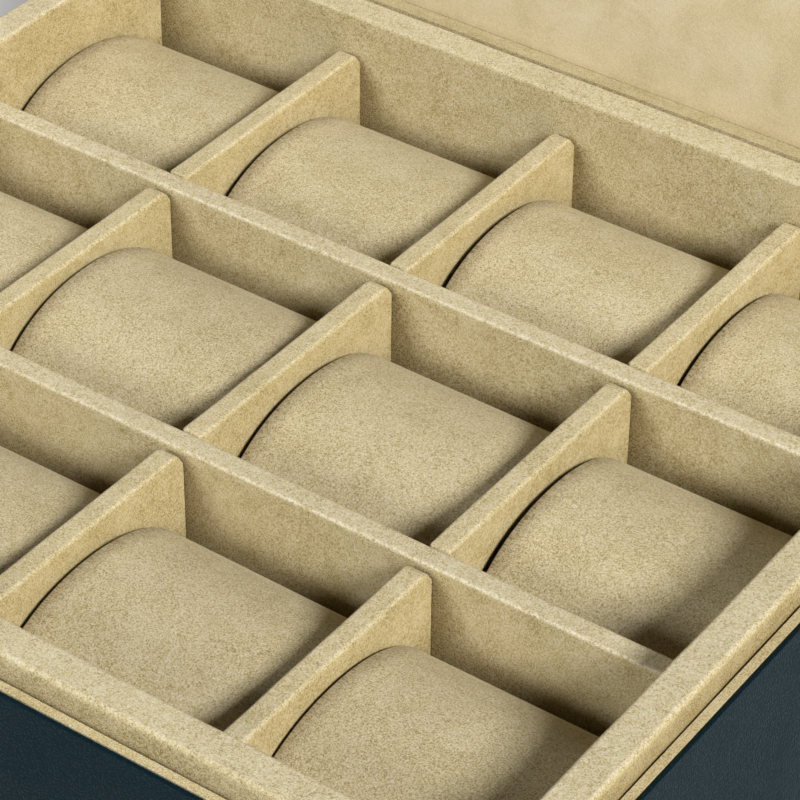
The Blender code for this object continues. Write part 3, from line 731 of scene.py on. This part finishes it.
def wave(bm, amount, foot):
    """Lets the cloth stray a little from the flat, but not at its foot."""
    bm.normal_update()
    moves = []
    for vertex in bm.verts:
        fine = noise.noise(vertex.co * FINE_WAVES / WAVE_LENGTH)
        drift = noise.noise(vertex.co / WAVE_LENGTH) + FINE_WAVE_SHARE * fine
        held = min(1.0, max(0.0, (vertex.co.z - foot) / WAVE_RISE))
        moves.append(vertex.normal * (amount * drift * held))
    for vertex, move in zip(bm.verts, moves):
        vertex.co += move


def mark_rub_and_highlight(bm, across, low, high, top, radius, shares):
    """Marks the rounded upper edges as rubbed, in a narrow line along the middle of each round, and the flat
    top as paler. The rubbed edges are partly a painted highlight, and the paler top is painted sheen.
    """
    low_share, high_share, top_sheen_share = shares
    layer = bm.verts.layers.float.new("rub")
    for vertex in bm.verts:
        upper = 1 - (top - vertex.co.z) / radius
        near_low = 1 - (vertex.co[across] - low) / radius
        near_high = 1 - (high - vertex.co[across]) / radius
        share = low_share if near_low > near_high else high_share
        ridge = 2 * max(0.0, upper) * max(0.0, near_low, near_high)
        painted_top_sheen = top_sheen_share if upper > FLAT_TOP_SHARE else 0.0
        vertex[layer] = min(1.0, max(share * ridge**RIDGE_SHARPNESS, painted_top_sheen))


def mark_side_shade(bm):
    """Marks the faces turned to the left and the right, where shade is painted into the cloth's colour."""
    layer = bm.verts.layers.float.new("laid")
    bm.normal_update()
    for vertex in bm.verts:
        sideways, upright = abs(vertex.normal.x), abs(vertex.normal.z)
        turned = sideways / max(math.hypot(sideways, upright), SIDE_SHADE_LEAST)
        vertex[layer] = eased((turned - SIDE_SHADE_START) / (1 - SIDE_SHADE_START))


def mark_painted_shade(bm, along, spans, top):
    """Marks where shade is painted: low on a board, and beside the boards that cross it."""
    layer = bm.verts.layers.float.new("unbrushed")
    for vertex in bm.verts:
        depth = top - vertex.co.z
        foot = FOOT_SHARE * eased((depth - FOOT_START) / FOOT_DEPTH)
        corner = 0.0
        for low, high in spans:
            away = max(low - vertex.co[along], vertex.co[along] - high)
            reach = CORNER_REACH + CORNER_SPREAD * max(0.0, depth)
            corner = max(corner, 1 - max(0.0, away) / reach)
        corner *= CORNER_SHARE * eased((depth - CORNER_START) / CORNER_DEPTH)
        vertex[layer] = 1 - (1 - corner) * (1 - foot)


def mark_outside(bm, across, top):
    """Marks painted shade on the outside of the collar, which grows below its top."""
    layer = bm.verts.layers.float["unbrushed"]
    outside = max(abs(vertex.co[across]) for vertex in bm.verts)
    for vertex in bm.verts:
        if outside - abs(vertex.co[across]) < OUTSIDE_REACH:
            down = eased((top - vertex.co.z - OUTSIDE_START) / OUTSIDE_DEPTH)
            vertex[layer] = max(vertex[layer], OUTSIDE_SHARE * down)


def crossing_spans(across):
    """Where the boards that cross one stand along it."""
    if across == 0:
        return []
    names = ["collar_left", "collar_right", *CROSS_NAMES]
    return [(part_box(name)[0].x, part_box(name)[1].x) for name in names]


def make_board(name, across, outline, radius, rub_shares):
    """A suede-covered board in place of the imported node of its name."""
    low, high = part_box(name)
    along = 1 - across
    spans = crossing_spans(across)
    divider_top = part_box(CROSS_NAMES[0])[1].z
    bm = outline_board(outline, across, low[across], high[across])
    round_top(bm, across, high.z, radius)
    places = steps(low[along], high[along], SLICE_PITCH)
    for near, far in spans:
        places += [near - gap for gap in CORNER_SLICES] + [far + gap for gap in CORNER_SLICES]
    slice_mesh(bm, along, places)
    slice_mesh(bm, 2, sorted({level - depth for level in (high.z, divider_top) for depth in SLICE_DEPTHS}))
    # Rubbed edges with painted highlight and sheen, and painted shade on the side faces, low down, in corners
    # and on the collar's outside
    mark_rub_and_highlight(bm, across, low[across], high[across], high.z, radius, rub_shares)
    mark_side_shade(bm)
    mark_painted_shade(bm, along, spans, divider_top)
    if name.startswith("collar"):
        mark_outside(bm, across, high.z)
    wave(bm, settings().board.waviness, low.z)
    mark_sharp(bm)
    weigh_normals(finish_piece(f"{name}_cover", bm, [cloth("board suede")], name))


class WATCHBOX_OT_collar(bpy.types.Operator):
    """Makes the four suede-covered boards of the collar"""

    bl_idname = "watch_box.collar"
    bl_label = "Collar"

    def execute(self, context):
        for side in SIDES:
            name = f"collar_{side}"
            across = 1 if side in ("front", "back") else 0
            low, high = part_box(name)
            outline = plain_outline(low, high, 1 - across)
            shares = RUB_HIGHLIGHT_SHARES["front collar" if side == "front" else "collar"]
            make_board(name, across, outline, settings().board.collar_radius, shares)
        return {"FINISHED"}


class WATCHBOX_OT_dividers(bpy.types.Operator):
    """Makes the dividers: the long ones are notched below and the cross ones above"""

    bl_idname = "watch_box.dividers"
    bl_label = "Dividers"

    def execute(self, context):
        for name in LONG_NAMES:
            self.make_long(name)
        for name in CROSS_NAMES:
            self.make_cross(name)
        return {"FINISHED"}

    def make_long(self, name):
        low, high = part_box(name)
        middle = (low.z + high.z) / 2 + BOARD_GAP / 2
        left, right = low.x - BOARD_GAP, high.x + BOARD_GAP
        outline = [(right, low.z), (right, high.z), (left, high.z), (left, low.z)]
        for other in CROSS_NAMES:
            other_low, other_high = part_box(other)
            near, far = other_low.x - BOARD_GAP, other_high.x + BOARD_GAP
            outline += [(near, low.z), (near, middle), (far, middle), (far, low.z)]
        make_board(name, 1, outline, settings().board.long_radius, RUB_HIGHLIGHT_SHARES["long divider"])

    def make_cross(self, name):
        board = settings().board
        low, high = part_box(name)
        long_low, long_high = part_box(LONG_NAMES[0])
        middle = (long_low.z + long_high.z) / 2 - BOARD_GAP / 2
        front, back = low.y - BOARD_GAP, high.y + BOARD_GAP
        outline = [(front, high.z), (front, low.z), (back, low.z), (back, high.z)]
        for other in reversed(LONG_NAMES):
            other_low, other_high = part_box(other)
            near, far = other_low.y - BOARD_GAP, other_high.y + BOARD_GAP
            outline += [(far, high.z), (far, middle), (near, middle), (near, high.z)]
        outline = round_corners(outline, high.z, board.end_radius, board.end_radius * NEAR_END_SHARE)
        make_board(name, 0, outline, board.cross_radius, RUB_HIGHLIGHT_SHARES["cross divider"])


# Pillows
PILLOW_SIDES = 56
PILLOW_STATIONS = 13
PILLOW_TOP_SHARE = 0.62
PILLOW_TOP_POWER = 2.1
PILLOW_FOOT_POWER = 3.2
PILLOW_FLAT_SHARE = 0.965
SIMULATION_FRAMES = (1, 20)
# The shade painted on the cover near its ends, and the length that it fades over
END_SHARE, END_FADE = 0.75, 0.0048
HEM_RUB = 0.3
# How each pillow has settled: how far it has sunk, leant back, slid to the right and risen at its right
# end, in shares of its height, width, length and height
PILLOW_SETTLING_SHARES = {
    "pillow_1_1": (0.004, -0.002, 0.004, -0.008),
    "pillow_1_2": (-0.004, 0.003, -0.004, 0.006),
    "pillow_1_3": (0.02, 0.0, 0.0, -0.02),
    "pillow_1_4": (0.0, 0.0, -0.0105, 0.0),
    "pillow_2_1": (0.008, 0.002, -0.006, 0.01),
    "pillow_2_2": (-0.05, 0.006, 0.0, 0.0),
    "pillow_2_3": (0.01, 0.0, 0.002, -0.006),
    "pillow_2_4": (0.0, 0.0, 0.004, 0.0),
    "pillow_3_1": (0.006, 0.0, 0.006, 0.0),
    "pillow_3_2": (0.012, 0.0, 0.0105, 0.006),
    "pillow_3_3": (0.0, 0.0, 0.0085, 0.0),
    "pillow_3_4": (0.01, -0.002, -0.004, 0.008),
}


def signed_power(value, exponent):
    return math.copysign(abs(value) ** exponent, value)


def pillow_section(width, height, inset, drop):
    """The oval that a pillow's cover follows, as (y, z) places about its middle, drawn in by an inset, and
    at its crest by a drop."""
    top = height * PILLOW_TOP_SHARE
    foot = (height - top) / PILLOW_FLAT_SHARE
    ring = []
    for side in range(PILLOW_SIDES):
        angle = 2 * math.pi * side / PILLOW_SIDES
        across, up = math.cos(angle), math.sin(angle)
        shape = PILLOW_TOP_POWER if up > 0 else PILLOW_FOOT_POWER
        y = (width / 2 - inset) * signed_power(across, 2 / shape)
        z = (top - drop if up > 0 else foot - inset) * signed_power(up, 2 / shape)
        ring.append((y, max(z, top - height + inset)))
    return ring


def loft(bm, stations):
    """Rings of vertices, each a list of places, joined by faces and closed at both ends."""
    rings = [[bm.verts.new(place) for place in station] for station in stations]
    for ring, following in zip(rings, rings[1:]):
        for side in range(len(ring)):
            after = (side + 1) % len(ring)
            bm.faces.new((ring[side], following[side], following[after], ring[after]))
    return [bm.faces.new(rings[0]), bm.faces.new(list(reversed(rings[-1])))]


def cover_rings(size, inset):
    """The rings of a pillow's cover about its middle, before it is stuffed."""
    section = pillow_section(size.y, size.z, inset, inset)
    places = [size.x * (station / (PILLOW_STATIONS - 1) - 0.5) for station in range(PILLOW_STATIONS)]
    return [[Vector((x, y, z)) for y, z in section] for x in places]


def simulate_covers(covers):
    """Stuffs the covers by cloth simulation with their end rings held, all at once, and returns how far
    each vertex moved."""
    scene = bpy.context.scene
    first, last = SIMULATION_FRAMES
    for piece in covers:
        count = len(piece.data.vertices)
        ends = [*range(PILLOW_SIDES), *range(count - PILLOW_SIDES, count)]
        piece.vertex_groups.new(name="held").add(ends, 1.0, "REPLACE")
        stuffing = piece.modifiers.new("Stuffing", "CLOTH")
        stuffing.settings.vertex_group_mass = "held"
        stuffing.settings.use_pressure = True
        stuffing.settings.uniform_pressure_force = settings().pillow.pressure
        stuffing.settings.effector_weights.gravity = 0.0
        stuffing.point_cache.frame_start = first
        stuffing.point_cache.frame_end = last
    for number in range(first, last + 1):
        scene.frame_set(number)
    graph = bpy.context.evaluated_depsgraph_get()
    moved = []
    for piece in covers:
        swollen = piece.evaluated_get(graph).data.vertices
        moved.append([swollen[i].co - vertex.co for i, vertex in enumerate(piece.data.vertices)])
    for piece in covers:
        piece.modifiers.clear()
    scene.frame_set(first)
    return moved


def held_move(move, up, side):
    """A move of the cover, held to how far it may go up and to the side; it never goes down."""
    return Vector((0, side * math.tanh(move.y / side), up * math.tanh(max(0.0, move.z) / up)))


class WATCHBOX_OT_pillows(bpy.types.Operator):
    """Makes the twelve stuffed pillows, each with its own slight lie"""

    bl_idname = "watch_box.pillows"
    bl_label = "Pillows"

    def execute(self, context):
        shape = settings().pillow
        covers = {}
        for name in PILLOW_NAMES:
            low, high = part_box(name)
            size = high - low
            size.x -= 2 * shape.hem
            covers[name] = cover_rings(size, shape.hem)
        drafts = [self.make_draft(name, rings) for name, rings in covers.items()]
        moves = simulate_covers(drafts)
        for draft in drafts:
            bpy.data.objects.remove(draft, do_unlink=True)
        for (name, rings), moved in zip(covers.items(), moves):
            self.make_pillow(name, rings, moved)
        return {"FINISHED"}

    def make_draft(self, name, rings):
        """The closed cover that the simulation stuffs."""
        bm = bmesh.new()
        loft(bm, rings)
        bmesh.ops.recalc_face_normals(bm, faces=bm.faces)
        return make_object(f"{name}_draft", bm)

    def make_pillow(self, name, rings, moved):
        """One pillow: its swollen cover, the cover's turned edges, and the filling in its ends, whose
        near-black colour paints the shade in the gap beside each end.
        """
        shape = settings().pillow
        low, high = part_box(name)
        size = high - low
        foot = size.z * (PILLOW_TOP_SHARE - 1)
        moves = iter([held_move(move, shape.swell, shape.side_swell) for move in moved])
        stations = [[place + next(moves) for place in ring] for ring in rings]
        reach, hem = size.x / 2, shape.hem
        step, drop, past = shape.end_step, shape.end_drop, reach + shape.end_reach
        # Each ring past the cover: how far out it lies, and how far it is drawn in and dropped
        ends = (
            (reach - 0.3 * hem, 1.3 * hem, 1.3 * hem),
            (reach, 2 * hem, 2 * hem),
            (reach, step + hem, drop),
            (past - hem, step + hem, drop),
            (past, step + 2 * hem, drop + hem),
        )
        for x, inset, crest in ends:
            section = pillow_section(size.y, size.z, inset, crest)
            stations.insert(0, [Vector((-x, y, z)) for y, z in section])
            stations.append([Vector((x, y, z)) for y, z in section])
        bm = bmesh.new()
        bmesh.ops.poke(bm, faces=loft(bm, stations))
        bmesh.ops.recalc_face_normals(bm, faces=bm.faces)
        for face in bm.faces:
            # The near-black faces past the cover paint the shade in the gap at the pillow's ends
            face.material_index = int(max(abs(v.co.x) for v in face.verts) > reach + 0.1 * hem)
        self.mark_ends(bm, reach)
        sunk, leant, slid, risen = PILLOW_SETTLING_SHARES[name]
        for vertex in bm.verts:
            up = (vertex.co.z - foot) / size.z
            rise = risen * vertex.co.x / size.x - sunk
            vertex.co += Vector((size.x * slid, size.y * leant * up, size.z * rise * up))
        middle = (low + high) / 2
        middle.z = low.z - foot
        bmesh.ops.translate(bm, vec=middle, verts=bm.verts)
        piece = finish_piece(f"{name}_cover", bm, [cloth("pillow suede"), cloth("dark filling")], name)
        finer = piece.modifiers.new("Finer", "SUBSURF")
        finer.levels = 1
        finer.render_levels = 1

    def mark_ends(self, bm, reach):
        """Marks the cover's turned edges as rubbed, and paints shade on the nap beside them."""
        rub = bm.verts.layers.float.new("rub")
        unbrushed = bm.verts.layers.float.new("unbrushed")
        for vertex in bm.verts:
            inside = reach - abs(vertex.co.x)
            vertex[rub] = HEM_RUB if abs(inside) < 1.1 * settings().pillow.hem else 0.0
            vertex[unbrushed] = END_SHARE * max(0.0, 1 - inside / END_FADE)


# Case, lid and metal
class WATCHBOX_OT_case(bpy.types.Operator):
    """Finishes the case: its boards, felt, suede rims and leather"""

    bl_idname = "watch_box.case"
    bl_label = "Case"

    def execute(self, context):
        refinish("base_felt", cloth("black felt"))
        refinish("base_bottom", raw_board())
        soften("base_leather", leather(), settings().board.leather_edge)
        for side in SIDES:
            refinish(f"base_wall_{side}", cloth("rim suede"))
        refinish("tray_floor", cloth("rim suede"))
        return {"FINISHED"}


LINING_PITCH = 0.009
LINING_WAVE = 0.036
# Where the lining is sliced beside its edges; the shade painted there, which fades over the last of them
LINING_FADES = (0.001, 0.003, 0.006)
LINING_EDGE_SHARE = 0.1


def lid_turn():
    """The turn that takes the lid from shut to opened, as it lies in the frame."""
    joint = next(row for row in BEHAVIOUR["joints"] if row["name"] == "lid_hinge")
    middle = Matrix.Translation(joint["pos_m"])
    turn = Matrix.Rotation(-math.radians(joint["range_deg"][0]), 4, Vector(joint["axis"]))
    return middle @ turn @ middle.inverted()


class WATCHBOX_OT_lid(bpy.types.Operator):
    """Finishes the lid: its walls, board, leather and suede lining"""

    bl_idname = "watch_box.lid"
    bl_label = "Lid"

    def execute(self, context):
        soften("lid_leather", leather(), settings().board.leather_edge)
        refinish("lid_board", raw_board())
        for side in SIDES:
            refinish(f"lid_wall_{side}", cloth("rim suede"))
        self.make_lining("lid_lining")
        return {"FINISHED"}

    def make_lining(self, name):
        """The lid's lining: a board covered in suede that fills the lid from wall to wall. It is drawn as
        it lies in the shut lid, and then turned."""
        board = settings().board
        opened = lid_turn()
        shut = opened.inverted()
        places = [shut @ vertex.co for vertex in NODES[name].data.vertices]
        reach = Vector((board.lining_reach, board.lining_reach, 0))
        low = Vector([min(place[i] for place in places) for i in range(3)]) - reach
        high = Vector([max(place[i] for place in places) for i in range(3)]) + reach
        bm = bmesh.new()
        bmesh.ops.create_cube(bm, size=1.0)
        bmesh.ops.scale(bm, vec=high - low, verts=bm.verts)
        bmesh.ops.translate(bm, vec=(low + high) / 2, verts=bm.verts)
        edges = [edge for edge in bm.edges if all(vertex.co.z < low.z + CLOSE for vertex in edge.verts)]
        radius = board.lining_radius
        bmesh.ops.bevel(bm, geom=edges, offset=radius, segments=4, profile=0.5, affect="EDGES")
        for axis in (0, 1):
            places = steps(low[axis], high[axis], LINING_PITCH)
            places += [low[axis] + gap for gap in LINING_FADES]
            places += [high[axis] - gap for gap in LINING_FADES]
            slice_mesh(bm, axis, places)
        # Painted shade near the lining's edges, where it meets the lid's walls
        unbrushed = bm.verts.layers.float.new("unbrushed")
        for vertex in bm.verts:
            x, y, z = vertex.co
            away = min(x - low.x, high.x - x, y - low.y, high.y - y)
            vertex[unbrushed] = LINING_EDGE_SHARE * (1 - eased(away / LINING_FADES[-1]))
            if z < low.z + CLOSE:
                vertex.co.z -= board.waviness * noise.noise(vertex.co / LINING_WAVE)
        mark_sharp(bm)
        bmesh.ops.transform(bm, matrix=opened, verts=bm.verts)
        weigh_normals(finish_piece(f"{name}_cover", bm, [cloth("lid suede")], name))


DOME_STEPS = 6
HEAD_SIDES = 40
RECESS_FLOOR_SHARE = 0.6


class WATCHBOX_OT_metal(bpy.types.Operator):
    """Finishes the hinges, the clasp and the screws"""

    bl_idname = "watch_box.metal"
    bl_label = "Metal"

    def execute(self, context):
        head = self.make_head()
        for node, slot in SLOT_OF_NODE.items():
            if slot != "satin_steel":
                continue
            if node.startswith("screw"):
                self.make_screw(node, head)
            else:
                soften(node, steel(), settings().metal.edge)
        bpy.data.meshes.remove(head)
        return {"FINISHED"}

    def make_head(self):
        """A domed screw with a cross recess, drawn about its axis with its seat at the origin."""
        metal = settings().metal
        profile = [(0.0, -metal.shank), (metal.shank_radius, -metal.shank), (metal.shank_radius, 0.0)]
        profile += [(metal.head_radius, 0.0), (metal.head_radius, metal.head_rim)]
        dome = metal.head_height - metal.head_rim
        for step in range(1, DOME_STEPS + 1):
            angle = math.pi / 2 * step / DOME_STEPS
            radius = max(metal.head_radius * math.cos(angle), 0.0)
            profile.append((radius, metal.head_rim + dome * math.sin(angle)))
        bm = bmesh.new()
        line = [bm.verts.new((radius, 0, up)) for radius, up in profile]
        edges = [bm.edges.new(pair) for pair in zip(line, line[1:])]
        round_axis = {"cent": (0, 0, 0), "axis": (0, 0, 1), "angle": 2 * math.pi}
        bmesh.ops.spin(bm, geom=[*line, *edges], steps=HEAD_SIDES, use_merge=True, **round_axis)
        bmesh.ops.remove_doubles(bm, verts=bm.verts, dist=CLOSE / 10)
        bmesh.ops.recalc_face_normals(bm, faces=bm.faces)
        screw = make_object("screw_draft", bm)
        bm = bmesh.new()
        arms = ((metal.recess_reach, metal.recess_width), (metal.recess_width, metal.recess_reach))
        for length, width in arms:
            arm = bmesh.ops.create_cube(bm, size=1.0)["verts"]
            bmesh.ops.scale(bm, vec=(length, width, 2 * metal.recess_depth), verts=arm)
            bmesh.ops.translate(bm, vec=(0, 0, metal.head_height), verts=arm)
            floor = [vertex for vertex in arm if vertex.co.z < metal.head_height]
            bmesh.ops.scale(bm, vec=(RECESS_FLOOR_SHARE, RECESS_FLOOR_SHARE, 1.0), verts=floor)
        recess = make_object("recess_draft", bm)
        cut = screw.modifiers.new("Recess", "BOOLEAN")
        cut.operation = "DIFFERENCE"
        cut.solver = "EXACT"
        cut.use_self = True
        cut.object = recess
        graph = bpy.context.evaluated_depsgraph_get()
        head = bpy.data.meshes.new_from_object(screw.evaluated_get(graph))
        for draft in (screw, recess):
            bpy.data.objects.remove(draft, do_unlink=True)
        return head

    def make_screw(self, node, head):
        """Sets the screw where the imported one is, turned by its own angle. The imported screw's widest flat,
        over all its faces that look the same way, is the underside of its head."""
        shares = {}
        for face in NODES[node].data.polygons:
            key = tuple(round(value, 2) for value in face.normal)
            share = shares.setdefault(key, [0.0, Vector(), Vector()])
            share[0] += face.area
            share[1] += face.area * face.center
            share[2] += face.area * face.normal
        area, centre, normal = max(shares.values(), key=lambda share: share[0])
        low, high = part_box(node)
        axis = -normal.normalized()
        middle = (low + high) / 2
        seat = middle + axis * (centre / area - middle).dot(axis)
        turn = axis.to_track_quat("Z", "Y").to_matrix().to_4x4()
        own = Matrix.Rotation(cloth_shift(node).x * math.pi, 4, "Z")
        bm = bmesh.new()
        bm.from_mesh(head)
        bmesh.ops.transform(bm, matrix=Matrix.Translation(seat) @ turn @ own, verts=bm.verts)
        mark_sharp(bm)
        finish_piece(f"{node}_head", bm, [steel()], node)


# Stage
FLOOR_SIZE = 12.0
SENSOR_WIDTH = 36
LAMP_DISTANCE = 6.0
# The lamps: name, azimuth and elevation in degrees, and size
LAMPS = (("key", 74, 36, 1.6), ("fill", -17, 24, 2.0), ("back", 205, 30, 2.0))


def way_back(azimuth, elevation):
    """The way from the target to a lamp or a camera; the angles are in radians."""
    level = math.cos(elevation)
    return Vector((math.sin(azimuth) * level, -math.cos(azimuth) * level, math.sin(elevation)))


def softbox(name, power, azimuth, elevation, size, target):
    """A square lamp that faces the target from an azimuth and an elevation, both in degrees."""
    lamp = bpy.data.lights.new(name, "AREA")
    lamp.energy = power
    lamp.size = size
    back = way_back(math.radians(azimuth), math.radians(elevation))
    made = bpy.data.objects.new(name, lamp)
    made.location = target + back * LAMP_DISTANCE
    made.rotation_euler = back.to_track_quat("Z", "Y").to_euler()
    bpy.context.scene.collection.objects.link(made)


class WATCHBOX_OT_stage(bpy.types.Operator):
    """Sets the floor, the lamps, the room's light and the camera"""

    bl_idname = "watch_box.stage"
    bl_label = "Stage"

    def execute(self, context):
        stage = settings().stage
        scene = context.scene
        bm = bmesh.new()
        bmesh.ops.create_grid(bm, x_segments=1, y_segments=1, size=FLOOR_SIZE / 2)
        make_object("floor", bm, [floor_paint()])

        target = Vector(stage.target)
        for name, azimuth, elevation, size in LAMPS:
            softbox(f"{name} softbox", getattr(stage, name), azimuth, elevation, size, target)

        world = bpy.data.worlds.new("room")
        world.use_nodes = True
        tree = world.node_tree
        rays = put(tree, "ShaderNodeLightPath", {}).outputs
        seen = plus(tree, rays["Is Camera Ray"], rays["Is Glossy Ray"])
        seen = plus(tree, seen, rays["Is Transmission Ray"], clamp=True)
        strength = ramped(tree, seen, 0.0, 1.0, stage.sky, stage.backdrop)
        feed(tree, tree.nodes["Background"], {"Color": (1, 1, 1, 1), "Strength": strength})
        scene.world = world

        lens = bpy.data.cameras.new("camera")
        lens.lens = stage.lens
        lens.sensor_width = SENSOR_WIDTH
        camera = bpy.data.objects.new("camera", lens)
        back = way_back(stage.azimuth, stage.elevation)
        turn = back.to_track_quat("Z", "Y").to_matrix() @ Matrix.Rotation(stage.roll, 3, "Z")
        camera.matrix_world = Matrix.Translation(target + back * stage.distance) @ turn.to_4x4()
        scene.collection.objects.link(camera)
        scene.camera = camera
        scene.view_settings.view_transform = "Standard"
        return {"FINISHED"}


class WATCHBOX_PT_panel(bpy.types.Panel):
    """Lists the box's operators and settings"""

    bl_idname = "WATCHBOX_PT_panel"
    bl_label = "Watch Box"
    bl_space_type = "VIEW_3D"
    bl_region_type = "UI"
    bl_category = "Watch Box"

    def draw(self, context):
        for operator in OPERATORS:
            self.layout.operator(operator.bl_idname)
        made = settings()
        for group in (made.finish, made.board, made.pillow, made.metal, made.stage):
            section = self.layout.box()
            for name in group.__annotations__:
                section.prop(group, name)


OPERATORS = (
    WATCHBOX_OT_collar,
    WATCHBOX_OT_dividers,
    WATCHBOX_OT_pillows,
    WATCHBOX_OT_case,
    WATCHBOX_OT_lid,
    WATCHBOX_OT_metal,
    WATCHBOX_OT_stage,
)
SETTING_GROUPS = (
    FinishSettings,
    BoardSettings,
    PillowSettings,
    MetalSettings,
    StageSettings,
    WatchBoxSettings,
)


def register():
    for item in (*SETTING_GROUPS, *OPERATORS, WATCHBOX_PT_panel):
        bpy.utils.register_class(item)
    bpy.types.Scene.watch_box = bpy.props.PointerProperty(type=WatchBoxSettings)


def unregister():
    del bpy.types.Scene.watch_box
    for item in reversed((*SETTING_GROUPS, *OPERATORS, WATCHBOX_PT_panel)):
        bpy.utils.unregister_class(item)


def main():
    register()
    bpy.ops.watch_box.collar()
    bpy.ops.watch_box.dividers()
    bpy.ops.watch_box.pillows()
    bpy.ops.watch_box.case()
    bpy.ops.watch_box.lid()
    bpy.ops.watch_box.metal()
    bpy.ops.watch_box.stage()


if __name__ == "__main__":
    main()
